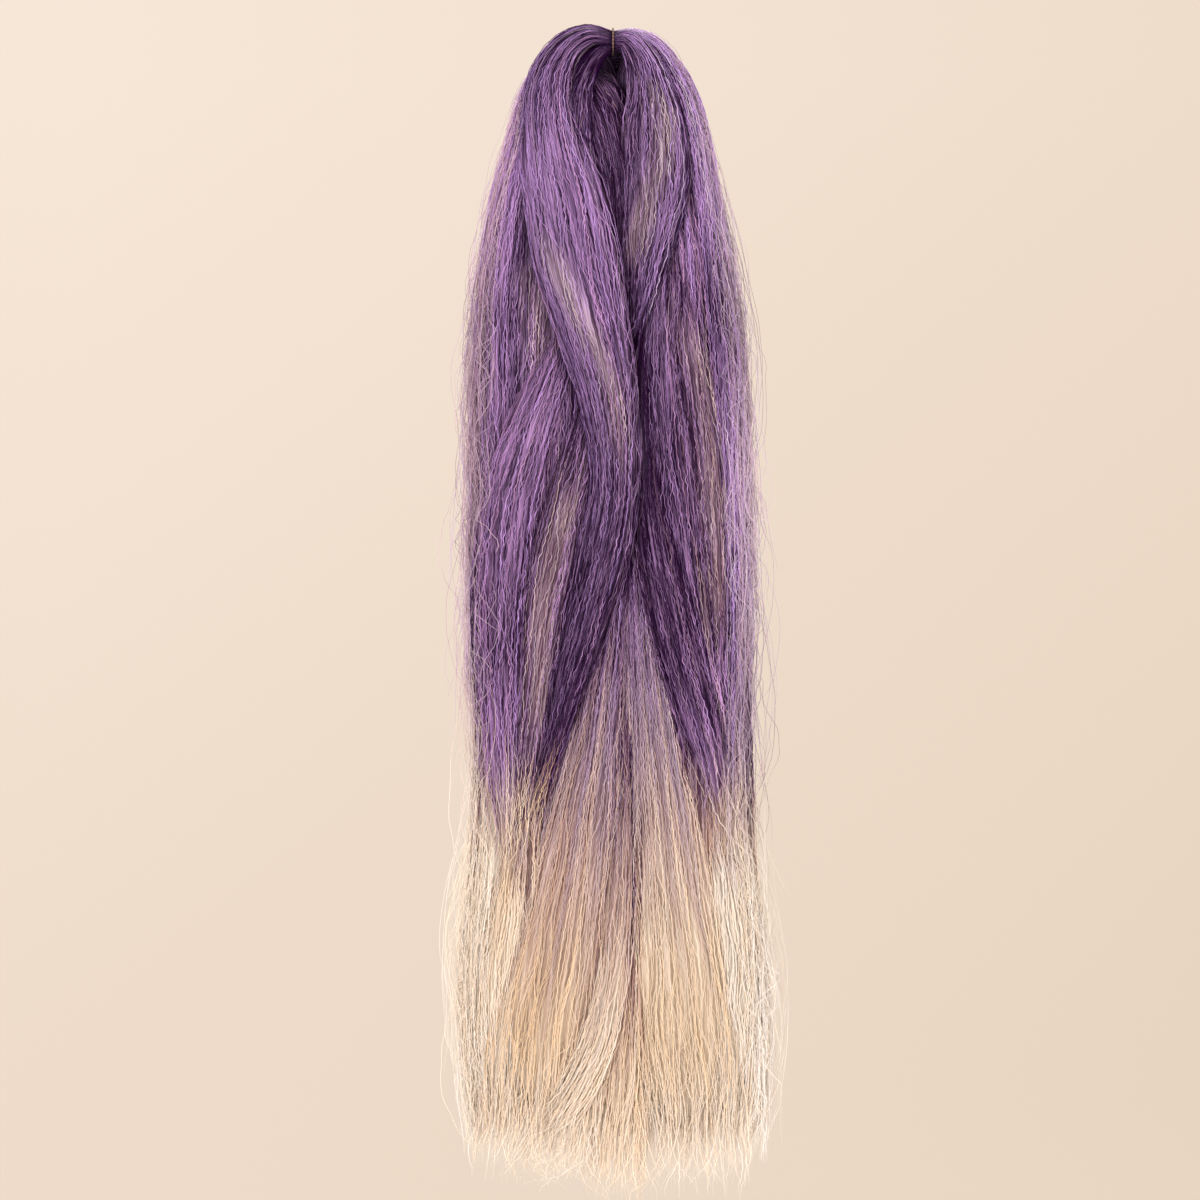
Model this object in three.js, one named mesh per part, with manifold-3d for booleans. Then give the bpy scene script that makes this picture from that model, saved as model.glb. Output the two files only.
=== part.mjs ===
// Jumbo braiding hair: one hank of long synthetic fibre, folded at its middle and cinched there by an
// elastic tie. Each half leaves the tie in an arch and hangs down in locks that cross, part and fan out
// at the tips.
// Millimetres, +Z up, +X to the right of someone who faces the front, -Y towards them.
// The origin is the top of the tie, which is where the hank hangs from a hook or a finger.
import * as THREE from "three";
import Module from "manifold-3d";

const wasm = await Module();
wasm.setup();

// The hank as it hangs
const DROP = 607; // from the top of the tie to the tips
const HALF_WIDTH = 75; // half the width across the middle, seen from the front
const HALF_DEPTH = 27; // half the thickness from front to back

// The bundle where the tie cinches it
const NECK_HALF_HEIGHT = 6;
const NECK_HALF_DEPTH = 9;

// The elastic tie
const TIE_DIAMETER = 1;
const TIE_CLEARANCE = 0.3; // between the tie and the hair inside it
const TIE_SIDES = 8;
const TIE_STEPS = 28;

// The two halves of the hank
const HALF_GAP = 0.3; // between the halves, wherever they face each other
const LOCK_SIDES = 16;
const FLUTE_SHARE = 0.08; // how deep the furrows between wisps cut into a lock's section

const BUNDLE_Z = -(TIE_DIAMETER + TIE_CLEARANCE + NECK_HALF_HEIGHT);
const TIE_UNDERSIDE_Z = 2 * BUNDLE_Z;

// Each lock is a table of sections from the tie to its tip. The columns are shares of the sizes above:
// drop: how far below the tie's top the section's centre lies, of DROP
// side: how far to the right of the tie, of HALF_WIDTH
// front: how far towards the viewer, of HALF_DEPTH
// wide: half the section's width, of HALF_WIDTH
// thick: half its thickness, of HALF_DEPTH
// A lock with a root starts in the bundle at the tie. Its shares of the bundle's half height and half depth
// are how far up and how far to the front it starts there, and its size. Where a lock lies under the tie,
// drop counts from the tie's underside.
const LEFT_LOCKS = {
  core: {
    root: [0, 0, 0.9],
    rows: [
      // drop, side, front, wide, thick
      [0.01, -0.17, 0, 0.085, 0.4],
      [0.022, -0.33, 0, 0.11, 0.46],
      [0.05, -0.43, -0.04, 0.17, 0.5],
      [0.075, -0.39, -0.06, 0.27, 0.54],
      [0.105, -0.36, -0.04, 0.34, 0.58],
      [0.15, -0.36, 0, 0.43, 0.62],
      [0.25, -0.41, 0, 0.52, 0.66],
      [0.4, -0.45, 0, 0.53, 0.68],
      [0.55, -0.46, 0, 0.5, 0.68],
      [0.7, -0.48, 0, 0.5, 0.68],
      [0.82, -0.5, 0, 0.54, 0.64],
      [0.91, -0.5, 0, 0.48, 0.5],
      [0.95, -0.5, 0, 0.36, 0.24],
    ],
  },
  outer: {
    root: [0.45, 0, 0.5],
    rows: [
      [0.007, -0.15, 0, 0.065, 0.42],
      [0.017, -0.32, 0, 0.085, 0.46],
      [0.037, -0.445, 0, 0.1, 0.5],
      [0.066, -0.55, 0, 0.112, 0.53],
      [0.107, -0.63, 0, 0.125, 0.56],
      [0.158, -0.72, 0, 0.14, 0.58],
      [0.235, -0.785, 0, 0.17, 0.6],
      [0.32, -0.815, 0, 0.185, 0.62],
      [0.425, -0.82, 0, 0.185, 0.62],
      [0.53, -0.81, 0, 0.18, 0.62],
      [0.615, -0.785, 0, 0.175, 0.6],
      [0.7, -0.8, 0, 0.18, 0.58],
      [0.79, -0.86, 0, 0.2, 0.56],
      [0.865, -0.885, 0, 0.185, 0.5],
      [0.915, -0.865, 0, 0.13, 0.36],
      [0.952, -0.84, 0, 0.05, 0.14],
    ],
  },
  // The twisted lock that crosses the hank's front from the arch to the middle and swings back to the left.
  front: {
    root: [0.1, 0.45, 0.5],
    rows: [
      [0.008, -0.16, 0.22, 0.07, 0.24],
      [0.02, -0.32, 0.34, 0.105, 0.28],
      [0.043, -0.42, 0.42, 0.15, 0.32],
      [0.073, -0.45, 0.48, 0.19, 0.34],
      [0.114, -0.405, 0.54, 0.25, 0.38],
      [0.162, -0.32, 0.6, 0.29, 0.4],
      [0.213, -0.24, 0.66, 0.29, 0.4],
      [0.265, -0.14, 0.7, 0.25, 0.38],
      [0.313, -0.05, 0.74, 0.21, 0.36],
      [0.36, 0.005, 0.76, 0.175, 0.34],
      [0.408, 0.005, 0.74, 0.16, 0.34],
      [0.455, -0.065, 0.7, 0.17, 0.34],
      [0.503, -0.16, 0.66, 0.16, 0.34],
      [0.55, -0.265, 0.62, 0.14, 0.32],
      [0.598, -0.37, 0.58, 0.115, 0.28],
      [0.645, -0.475, 0.54, 0.085, 0.24],
      [0.693, -0.58, 0.5, 0.035, 0.12],
    ],
  },
  // The short arch below the twisted lock, which frames the eye on its left.
  inner_arch: {
    root: [-0.45, 0.3, 0.42],
    rows: [
      [0.024, -0.09, 0.24, 0.05, 0.22],
      [0.036, -0.17, 0.3, 0.075, 0.26],
      [0.056, -0.235, 0.36, 0.1, 0.28],
      [0.085, -0.26, 0.4, 0.12, 0.3],
      [0.12, -0.235, 0.42, 0.13, 0.3],
      [0.16, -0.17, 0.44, 0.13, 0.3],
      [0.2, -0.09, 0.44, 0.12, 0.28],
      [0.245, -0.02, 0.44, 0.09, 0.24],
      [0.285, 0.03, 0.42, 0.03, 0.12],
    ],
  },
  middle: {
    rows: [
      [0.25, -0.3, 0.4, 0.08, 0.2],
      [0.3, -0.42, 0.46, 0.16, 0.3],
      [0.345, -0.55, 0.48, 0.2, 0.34],
      [0.395, -0.665, 0.46, 0.225, 0.36],
      [0.46, -0.735, 0.44, 0.235, 0.36],
      [0.535, -0.765, 0.42, 0.21, 0.36],
      [0.61, -0.755, 0.42, 0.18, 0.34],
      [0.685, -0.735, 0.42, 0.14, 0.3],
      [0.736, -0.735, 0.42, 0.05, 0.16],
    ],
  },
  inner: {
    rows: [
      [0.32, -0.16, 0.44, 0.06, 0.2],
      [0.365, -0.23, 0.5, 0.14, 0.3],
      [0.417, -0.33, 0.54, 0.175, 0.34],
      [0.473, -0.42, 0.56, 0.18, 0.34],
      [0.53, -0.5, 0.54, 0.16, 0.32],
      [0.59, -0.56, 0.52, 0.135, 0.3],
      [0.65, -0.62, 0.5, 0.105, 0.26],
      [0.71, -0.68, 0.48, 0.05, 0.16],
    ],
  },
  fan: {
    rows: [
      [0.4, 0.07, 0.22, 0.05, 0.18],
      [0.47, 0.04, 0.36, 0.12, 0.3],
      [0.55, -0.02, 0.42, 0.2, 0.34],
      [0.63, -0.1, 0.45, 0.29, 0.36],
      [0.71, -0.19, 0.47, 0.38, 0.38],
      [0.79, -0.28, 0.48, 0.45, 0.38],
      [0.86, -0.36, 0.46, 0.5, 0.36],
      [0.915, -0.42, 0.42, 0.5, 0.3],
      [0.955, -0.46, 0.36, 0.42, 0.2],
      [0.985, -0.5, 0.28, 0.25, 0.07],
    ],
  },
  // The lock that lies on the fan and sweeps to the left near the tips.
  sweep: {
    rows: [
      [0.56, 0.08, 0.52, 0.03, 0.1],
      [0.64, 0.07, 0.62, 0.07, 0.2],
      [0.72, 0.05, 0.66, 0.09, 0.24],
      [0.78, 0.02, 0.68, 0.11, 0.26],
      [0.83, -0.03, 0.68, 0.125, 0.26],
      [0.875, -0.12, 0.66, 0.14, 0.24],
      [0.915, -0.27, 0.62, 0.14, 0.2],
      [0.95, -0.46, 0.54, 0.08, 0.08],
    ],
  },
  // The lock that joins the two halves' tips in the middle.
  centre: {
    rows: [
      [0.5, 0.1, 0.3, 0.03, 0.1],
      [0.58, 0.11, 0.42, 0.06, 0.2],
      [0.66, 0.12, 0.48, 0.09, 0.26],
      [0.74, 0.13, 0.5, 0.12, 0.28],
      [0.82, 0.12, 0.5, 0.16, 0.3],
      [0.88, 0.1, 0.46, 0.2, 0.28],
      [0.93, 0.06, 0.4, 0.22, 0.24],
      [0.97, 0.02, 0.34, 0.2, 0.16],
      [1, 0, 0.28, 0.12, 0.06],
    ],
  },
  tips_outer: {
    rows: [
      [0.667, -0.62, 0.34, 0.08, 0.2],
      [0.736, -0.68, 0.36, 0.16, 0.3],
      [0.805, -0.74, 0.36, 0.19, 0.33],
      [0.865, -0.78, 0.34, 0.18, 0.3],
      [0.92, -0.78, 0.3, 0.13, 0.24],
      [0.965, -0.76, 0.26, 0.04, 0.08],
    ],
  },
  // The lock that sweeps from the left arch across the floor of the eye, the dark recess below the tie.
  under_eye: {
    rows: [
      [0.034, -0.22, -0.16, 0.07, 0.2],
      [0.052, -0.16, -0.08, 0.16, 0.34],
      [0.075, -0.08, 0.06, 0.19, 0.44],
      [0.1, -0.02, 0.18, 0.19, 0.46],
      [0.13, 0.03, 0.26, 0.17, 0.44],
      [0.165, 0.06, 0.3, 0.15, 0.4],
      [0.205, 0.08, 0.32, 0.13, 0.36],
      [0.245, 0.09, 0.34, 0.1, 0.3],
      [0.285, 0.09, 0.34, 0.04, 0.14],
    ],
  },
  // The turn of hair behind the tie, which closes the eye from behind.
  behind_eye: {
    underTie: true,
    rows: [
      [0, -0.26, -0.48, 0.1, 0.2],
      [0.001, -0.12, -0.56, 0.12, 0.14],
      [0.001, 0, -0.57, 0.12, 0.13],
      [0.001, 0.1, -0.56, 0.115, 0.14],
      [0.003, 0.19, -0.48, 0.09, 0.18],
    ],
  },
  back: {
    root: [0.1, -0.45, 0.5],
    rows: [
      [0.008, -0.19, -0.28, 0.085, 0.28],
      [0.03, -0.2, -0.42, 0.22, 0.3],
      [0.055, -0.22, -0.48, 0.32, 0.34],
      [0.09, -0.3, -0.5, 0.37, 0.4],
      [0.14, -0.37, -0.52, 0.42, 0.42],
      [0.22, -0.44, -0.52, 0.42, 0.44],
      [0.34, -0.52, -0.52, 0.38, 0.44],
      [0.46, -0.48, -0.5, 0.4, 0.44],
      [0.58, -0.4, -0.5, 0.42, 0.44],
      [0.7, -0.42, -0.5, 0.46, 0.4],
      [0.82, -0.5, -0.46, 0.5, 0.36],
      [0.91, -0.52, -0.38, 0.48, 0.28],
      [0.965, -0.52, -0.28, 0.4, 0.14],
    ],
  },
  back_wave: {
    rows: [
      [0.2, -0.16, -0.46, 0.07, 0.2],
      [0.28, -0.24, -0.6, 0.19, 0.3],
      [0.38, -0.36, -0.66, 0.25, 0.34],
      [0.48, -0.5, -0.66, 0.25, 0.34],
      [0.58, -0.62, -0.6, 0.21, 0.32],
      [0.68, -0.69, -0.54, 0.14, 0.28],
      [0.76, -0.72, -0.48, 0.04, 0.14],
    ],
  },
  back_tips: {
    rows: [
      [0.64, -0.2, -0.42, 0.08, 0.2],
      [0.72, -0.24, -0.56, 0.21, 0.32],
      [0.81, -0.29, -0.56, 0.32, 0.34],
      [0.89, -0.34, -0.46, 0.36, 0.28],
      [0.95, -0.39, -0.36, 0.32, 0.18],
      [0.993, -0.43, -0.28, 0.16, 0.08],
    ],
  },
};

const RIGHT_LOCKS = {
  core: {
    root: [0, 0, 0.9],
    rows: [
      [0.014, 0.13, 0, 0.08, 0.4],
      [0.027, 0.26, 0, 0.1, 0.46],
      [0.05, 0.31, -0.04, 0.19, 0.5],
      [0.1, 0.35, -0.02, 0.27, 0.58],
      [0.15, 0.39, 0, 0.34, 0.62],
      [0.25, 0.45, 0, 0.41, 0.66],
      [0.4, 0.5, 0, 0.44, 0.68],
      [0.55, 0.51, 0, 0.44, 0.68],
      [0.7, 0.52, 0, 0.45, 0.68],
      [0.82, 0.54, 0, 0.49, 0.64],
      [0.91, 0.55, 0, 0.45, 0.5],
      [0.955, 0.54, 0, 0.34, 0.24],
    ],
  },
  outer: {
    root: [0.45, 0, 0.5],
    rows: [
      [0.0095, 0.135, 0, 0.066, 0.42],
      [0.0205, 0.285, 0, 0.088, 0.46],
      [0.044, 0.41, 0, 0.1, 0.5],
      [0.07, 0.5, 0, 0.108, 0.53],
      [0.105, 0.56, 0, 0.12, 0.56],
      [0.157, 0.62, 0, 0.14, 0.58],
      [0.235, 0.695, 0, 0.17, 0.6],
      [0.32, 0.745, 0, 0.185, 0.62],
      [0.425, 0.775, 0, 0.18, 0.62],
      [0.53, 0.79, 0, 0.17, 0.62],
      [0.615, 0.77, 0, 0.16, 0.6],
      [0.7, 0.78, 0, 0.17, 0.58],
      [0.79, 0.85, 0, 0.195, 0.56],
      [0.87, 0.895, 0, 0.19, 0.5],
      [0.92, 0.895, 0, 0.13, 0.36],
      [0.96, 0.88, 0, 0.05, 0.14],
    ],
  },
  // The short lock beside the eye, which dives behind the left half's twisted lock.
  inner: {
    root: [0, 0.45, 0.5],
    rows: [
      [0.012, 0.1, 0.22, 0.07, 0.24],
      [0.029, 0.2, 0.34, 0.11, 0.3],
      [0.058, 0.27, 0.44, 0.17, 0.34],
      [0.092, 0.295, 0.5, 0.225, 0.38],
      [0.131, 0.3, 0.54, 0.24, 0.4],
      [0.17, 0.27, 0.56, 0.2, 0.4],
      [0.21, 0.23, 0.56, 0.145, 0.36],
      [0.244, 0.18, 0.52, 0.085, 0.3],
      [0.278, 0.13, 0.44, 0.03, 0.16],
    ],
  },
  front: {
    rows: [
      [0.179, 0.44, 0.3, 0.06, 0.2],
      [0.226, 0.42, 0.42, 0.17, 0.32],
      [0.278, 0.425, 0.48, 0.225, 0.36],
      [0.339, 0.47, 0.5, 0.26, 0.38],
      [0.4, 0.525, 0.5, 0.265, 0.38],
      [0.46, 0.585, 0.48, 0.23, 0.36],
      [0.516, 0.65, 0.46, 0.17, 0.32],
      [0.564, 0.705, 0.44, 0.09, 0.26],
      [0.602, 0.76, 0.42, 0.03, 0.14],
    ],
  },
  dark: {
    rows: [
      [0.255, 0.22, 0.34, 0.04, 0.16],
      [0.3, 0.22, 0.44, 0.1, 0.26],
      [0.35, 0.235, 0.48, 0.13, 0.3],
      [0.395, 0.265, 0.52, 0.15, 0.32],
      [0.44, 0.315, 0.55, 0.175, 0.34],
      [0.49, 0.39, 0.56, 0.195, 0.36],
      [0.546, 0.495, 0.56, 0.19, 0.34],
      [0.598, 0.6, 0.54, 0.155, 0.32],
      [0.645, 0.69, 0.5, 0.105, 0.26],
      [0.689, 0.76, 0.46, 0.04, 0.14],
    ],
  },
  fan: {
    rows: [
      [0.4, 0.15, 0.2, 0.04, 0.16],
      [0.47, 0.17, 0.34, 0.1, 0.28],
      [0.55, 0.22, 0.4, 0.17, 0.32],
      [0.63, 0.28, 0.43, 0.26, 0.36],
      [0.71, 0.34, 0.45, 0.35, 0.38],
      [0.79, 0.4, 0.46, 0.42, 0.38],
      [0.86, 0.45, 0.44, 0.47, 0.36],
      [0.92, 0.49, 0.4, 0.46, 0.3],
      [0.96, 0.5, 0.34, 0.38, 0.2],
      [0.992, 0.5, 0.27, 0.22, 0.07],
    ],
  },
  tips_outer: {
    rows: [
      [0.667, 0.68, 0.34, 0.08, 0.2],
      [0.736, 0.73, 0.36, 0.17, 0.3],
      [0.805, 0.78, 0.36, 0.19, 0.33],
      [0.87, 0.8, 0.34, 0.18, 0.3],
      [0.925, 0.8, 0.3, 0.13, 0.24],
      [0.97, 0.78, 0.26, 0.04, 0.08],
    ],
  },
  back: {
    root: [0.1, -0.45, 0.5],
    rows: [
      [0.012, 0.17, -0.28, 0.08, 0.28],
      [0.032, 0.2, -0.42, 0.2, 0.3],
      [0.06, 0.24, -0.46, 0.26, 0.34],
      [0.09, 0.28, -0.5, 0.29, 0.38],
      [0.14, 0.35, -0.52, 0.34, 0.42],
      [0.22, 0.42, -0.52, 0.38, 0.44],
      [0.34, 0.48, -0.52, 0.41, 0.44],
      [0.46, 0.52, -0.5, 0.38, 0.44],
      [0.58, 0.54, -0.5, 0.36, 0.44],
      [0.7, 0.53, -0.5, 0.38, 0.4],
      [0.82, 0.54, -0.46, 0.45, 0.36],
      [0.91, 0.55, -0.38, 0.44, 0.28],
      [0.965, 0.54, -0.28, 0.38, 0.14],
    ],
  },
  back_wave: {
    rows: [
      [0.13, 0.62, -0.34, 0.06, 0.2],
      [0.2, 0.6, -0.5, 0.16, 0.3],
      [0.29, 0.52, -0.62, 0.22, 0.34],
      [0.38, 0.42, -0.68, 0.23, 0.34],
      [0.47, 0.34, -0.66, 0.22, 0.34],
      [0.56, 0.3, -0.6, 0.18, 0.3],
      [0.65, 0.32, -0.52, 0.1, 0.24],
      [0.71, 0.36, -0.46, 0.03, 0.12],
    ],
  },
  back_tips: {
    rows: [
      [0.6, 0.62, -0.42, 0.08, 0.2],
      [0.69, 0.6, -0.56, 0.2, 0.32],
      [0.79, 0.54, -0.58, 0.3, 0.34],
      [0.88, 0.48, -0.48, 0.34, 0.28],
      [0.945, 0.44, -0.37, 0.3, 0.18],
      [0.99, 0.42, -0.28, 0.15, 0.08],
    ],
  },
};

// An oval section: its centre, the direction in which the lock runs through it, and its two half sizes.
// The bundle's two sections, where it runs out of the tie, are square to X.
function bundleSections(direction, grow) {
  return [HALF_GAP / 2, 2 * TIE_DIAMETER].map((out) => ({
    centre: new THREE.Vector3(direction * out, 0, BUNDLE_Z),
    run: new THREE.Vector3(direction, 0, 0),
    wide: NECK_HALF_HEIGHT + grow,
    thick: NECK_HALF_DEPTH + grow,
  }));
}

// A lock's sections in millimetres. For cutting, they are grown by a little, and its ends moved out by as
// much.
function lockSections({ root, underTie, rows }, direction, grow) {
  const top = underTie ? TIE_UNDERSIDE_Z : 0;
  const sections = rows.map(([drop, side, front, wide, thick]) => ({
    centre: new THREE.Vector3(side * HALF_WIDTH, -front * HALF_DEPTH, top - drop * DROP),
    wide: wide * HALF_WIDTH + grow,
    thick: thick * HALF_DEPTH + grow,
  }));
  if (root) {
    const [up, front, size] = root;
    const z = BUNDLE_Z + up * NECK_HALF_HEIGHT;
    sections.unshift({
      centre: new THREE.Vector3(direction * TIE_DIAMETER, -front * NECK_HALF_DEPTH, z),
      wide: size * NECK_HALF_HEIGHT + grow,
      thick: size * NECK_HALF_DEPTH + grow,
    });
  }
  const last = sections.length - 1;
  sections.forEach((section, index) => {
    const before = sections[Math.max(index - 1, 0)].centre;
    const after = sections[Math.min(index + 1, last)].centre;
    section.run = after.clone().sub(before).normalize();
  });
  if (root) sections[0].run.set(direction, 0, 0);
  sections[0].centre.addScaledVector(sections[0].run, -grow);
  sections[last].centre.addScaledVector(sections[last].run, grow);
  return sections;
}

// One ring of points round a section: an oval square to the lock's run, furrowed between its wisps.
function sectionRing({ centre, run, wide, thick }) {
  const across = run.clone().cross(new THREE.Vector3(0, 1, 0)).normalize();
  const outward = run.clone().cross(across);
  return Array.from({ length: LOCK_SIDES }, (_, side) => {
    const turn = (side / LOCK_SIDES) * 2 * Math.PI;
    const reach = side % 2 ? 1 - FLUTE_SHARE : 1;
    return centre
      .clone()
      .addScaledVector(across, reach * wide * Math.cos(turn))
      .addScaledVector(outward, reach * thick * Math.sin(turn));
  });
}

// A closed surface through rings of points, capped at both ends, or joined end to start where it is a loop.
function loftGeometry(rings, loop = false) {
  const sides = rings[0].length;
  const points = rings.flat();
  const faces = [];
  const spans = loop ? rings.length : rings.length - 1;
  for (let ring = 0; ring < spans; ring++) {
    const here = ring * sides;
    const next = ((ring + 1) % rings.length) * sides;
    for (let side = 0; side < sides; side++) {
      const beside = (side + 1) % sides;
      faces.push(here + side, here + beside, next + beside);
      faces.push(here + side, next + beside, next + side);
    }
  }
  if (!loop) {
    const last = (rings.length - 1) * sides;
    const middle = (ring) => ring.reduce((sum, p) => sum.add(p), new THREE.Vector3()).divideScalar(sides);
    points.push(middle(rings[0]), middle(rings.at(-1)));
    for (let side = 0; side < sides; side++) {
      const beside = (side + 1) % sides;
      faces.push(points.length - 2, beside, side);
      faces.push(points.length - 1, last + side, last + beside);
    }
  }
  const geometry = new THREE.BufferGeometry().setFromPoints(points);
  geometry.setIndex(faces);
  return geometry;
}

function solidOf(geometry) {
  const vertProperties = new Float32Array(geometry.getAttribute("position").array);
  const triVerts = new Uint32Array(geometry.index.array);
  return new wasm.Manifold(new wasm.Mesh({ numProp: 3, vertProperties, triVerts }));
}

function geometryOf(solid) {
  const { vertProperties, triVerts } = solid.getMesh();
  const geometry = new THREE.BufferGeometry();
  geometry.setAttribute("position", new THREE.BufferAttribute(vertProperties, 3));
  geometry.setIndex(new THREE.BufferAttribute(triVerts, 1));
  geometry.computeVertexNormals();
  return geometry;
}

// The largest body of a solid, by its outer surface alone, so that pockets sealed between locks are filled.
function wholeBody(solid) {
  return solid.decompose().reduce((most, body) => (body.volume() > most.volume() ? body : most));
}

function loftSolid(sections) {
  return solidOf(loftGeometry(sections.map(sectionRing)));
}

// One half of the hank: its locks fused to the bundle that runs into the tie.
function halfSolid(locks, direction, grow = 0) {
  const bundle = loftSolid(bundleSections(direction, grow));
  const solids = Object.values(locks).map((lock) => loftSolid(lockSections(lock, direction, grow)));
  return wholeBody(solids.reduce((sum, lock) => sum.add(lock), bundle));
}

// The tie is a round elastic that runs once round the neck of the bundle, in the plane between the halves.
function tieGeometry() {
  const radius = TIE_DIAMETER / 2;
  const centre = new THREE.Vector3(0, 0, BUNDLE_Z);
  const height = NECK_HALF_HEIGHT + TIE_CLEARANCE + radius;
  const depth = NECK_HALF_DEPTH + TIE_CLEARANCE + radius;
  const rings = Array.from({ length: TIE_STEPS }, (_, step) => {
    const turn = (step / TIE_STEPS) * 2 * Math.PI;
    const off = new THREE.Vector3(0, depth * Math.sin(turn), height * Math.cos(turn));
    const middle = centre.clone().add(off);
    const outward = new THREE.Vector3(0, height * Math.sin(turn), depth * Math.cos(turn)).normalize();
    return Array.from({ length: TIE_SIDES }, (_, side) => {
      const around = (side / TIE_SIDES) * 2 * Math.PI;
      return middle
        .clone()
        .addScaledVector(outward, radius * Math.cos(around))
        .add(new THREE.Vector3(radius * Math.sin(around), 0, 0));
    });
  });
  return loftGeometry(rings, true);
}

const hair = new THREE.MeshStandardMaterial({ color: 0x7a4f86, roughness: 0.55, metalness: 0 });
const elastic = new THREE.MeshStandardMaterial({ color: 0x6e4f45, roughness: 0.7, metalness: 0 });

function namedMesh(name, geometry, material) {
  const mesh = new THREE.Mesh(geometry, material);
  mesh.name = name;
  return mesh;
}

const leftHalf = halfSolid(LEFT_LOCKS, -1);
const rightHalf = wholeBody(halfSolid(RIGHT_LOCKS, 1).subtract(halfSolid(LEFT_LOCKS, -1, HALF_GAP)));

const hank = new THREE.Group();
hank.add(namedMesh("left_half", geometryOf(leftHalf), hair));
hank.add(namedMesh("right_half", geometryOf(rightHalf), hair));
hank.add(namedMesh("tie", tieGeometry(), elastic));

export default hank;
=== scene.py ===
"""Jumbo braiding hair: a folded hank of crimped synthetic fibre that hangs from a thin elastic tie.

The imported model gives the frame, and its three nodes are replaced by finer pieces. Each half of the hank is
made of locks. A lock is a surface whose sections are ovals, given by a short table. Crimped strands lie on
it, and loose hairs stand off it. Everything is in metres, with +Z up and the viewer at -Y.
"""
import logging
import math
from dataclasses import dataclass, field
from enum import Enum

import bpy
import numpy as np
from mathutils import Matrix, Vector


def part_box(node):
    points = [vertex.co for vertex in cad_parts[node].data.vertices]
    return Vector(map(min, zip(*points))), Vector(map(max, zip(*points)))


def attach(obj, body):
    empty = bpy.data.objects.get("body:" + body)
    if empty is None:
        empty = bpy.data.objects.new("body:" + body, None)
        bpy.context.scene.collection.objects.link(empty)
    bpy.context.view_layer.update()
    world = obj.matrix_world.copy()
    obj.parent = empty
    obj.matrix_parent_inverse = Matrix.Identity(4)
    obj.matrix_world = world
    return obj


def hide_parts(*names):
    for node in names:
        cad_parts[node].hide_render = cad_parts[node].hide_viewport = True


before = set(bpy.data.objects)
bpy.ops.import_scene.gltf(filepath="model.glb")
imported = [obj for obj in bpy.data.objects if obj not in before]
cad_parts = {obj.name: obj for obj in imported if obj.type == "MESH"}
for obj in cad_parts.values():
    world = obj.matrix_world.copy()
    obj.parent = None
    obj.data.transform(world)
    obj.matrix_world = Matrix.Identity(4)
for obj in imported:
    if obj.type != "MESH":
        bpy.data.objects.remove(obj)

Array = np.ndarray
MM = 0.001
SEED = 41
log = logging.getLogger("hank")

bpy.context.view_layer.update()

# The hank's driving sizes
DROP = 0.607
HALF_WIDTH = 0.075
HALF_DEPTH = 0.027
TIE_DIAMETER = 1 * MM
TIE_CLEARANCE = 0.3 * MM

# The bundle inside the tie, from the tie's own box
TIE_LOW, TIE_HIGH = (np.array(corner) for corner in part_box("tie"))
BUNDLE_CENTRE = (TIE_LOW + TIE_HIGH) / 2
NECK_HALF_HEIGHT = (TIE_HIGH[2] - TIE_LOW[2]) / 2 - TIE_DIAMETER - TIE_CLEARANCE
NECK_HALF_DEPTH = (TIE_HIGH[1] - TIE_LOW[1]) / 2 - TIE_DIAMETER - TIE_CLEARANCE

# The photograph's frame: its side and the tie's top in its pixels, and the scale
PHOTO_SIDE = 1200
PHOTO_TIE = (613, 28)
PIXEL = 0.525 * MM

# Fibres and strands
STRAND_RADIUS = 0.22 * MM  # a strand is a few fibres that cling together
CRIMP_STEP = 3.1 * MM  # from one bend of the crimp to the next
CRIMP_REACH = 0.44 * MM  # how far a bend stands to the side
STRAND_SIDES = 3
FRONT_SPACING = 0.64 * MM  # from one strand to the next round a lock that the front view shows
BACK_SPACING = 1.4 * MM
LOOSE_LIMIT = 92 * MM  # how far a loose hair may stand to either side of the tie
BAKE_ROWS = 3  # how many strands share a column of the bake map
SIDE_SHADE = 0.35  # how much of the locks' shade falls on the hank's sides
STREAK_LOSS = 0.8  # how much of a streak is lost where the fibre is blonde
CONTRAST_LOSS = 0.7  # and how much of the strands' difference in tone, painted shade and glints included


class Half(Enum):
    """The side of the tie on which a half of the hank hangs."""

    LEFT = -1
    RIGHT = 1


class Facing(Enum):
    """The arc of a lock's section that can be seen, as its middle and half its spread in degrees.

    0 degrees is the right side, 90 the front, 180 the left side and 270 the back.
    """

    FRONT = (90, 100)
    LEFT = (180, 125)
    RIGHT = (0, 125)
    BACK = (270, 95)
    NONE = (90, 0)


def linear(code: str) -> tuple[float, float, float, float]:
    """Turns an sRGB hex colour into the linear numbers that a shader's socket takes.

    Args:
        code: six hex digits, as in "8a6a5c".
    Returns:
        Red, green, blue and an alpha of 1.
    """
    parts = (int(code[i:i + 2], 16) / 255 for i in (0, 2, 4))
    red, green, blue = (c / 12.92 if c <= 0.04045 else ((c + 0.055) / 1.055) ** 2.4 for c in parts)
    return red, green, blue, 1.0


def add_node(tree: bpy.types.NodeTree, kind: str, settings: dict | None = None, links: dict | None = None):
    """Adds a node with its settings and links.

    Args:
        tree: the node tree to add it to.
        kind: the node's type, without the leading ShaderNode.
        settings: a property's name, or an input's name or number after "in ", with its value.
        links: an input's name or number, with the output socket that feeds it.
    Returns:
        The new node.
    """
    node = tree.nodes.new("ShaderNode" + kind)
    for name, value in (settings or {}).items():
        if name.startswith("in "):
            key = name[3:]
            node.inputs[int(key) if key.isdigit() else key].default_value = value
        else:
            setattr(node, name, value)
    for name, socket in (links or {}).items():
        tree.links.new(socket, node.inputs[name])
    return node


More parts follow.
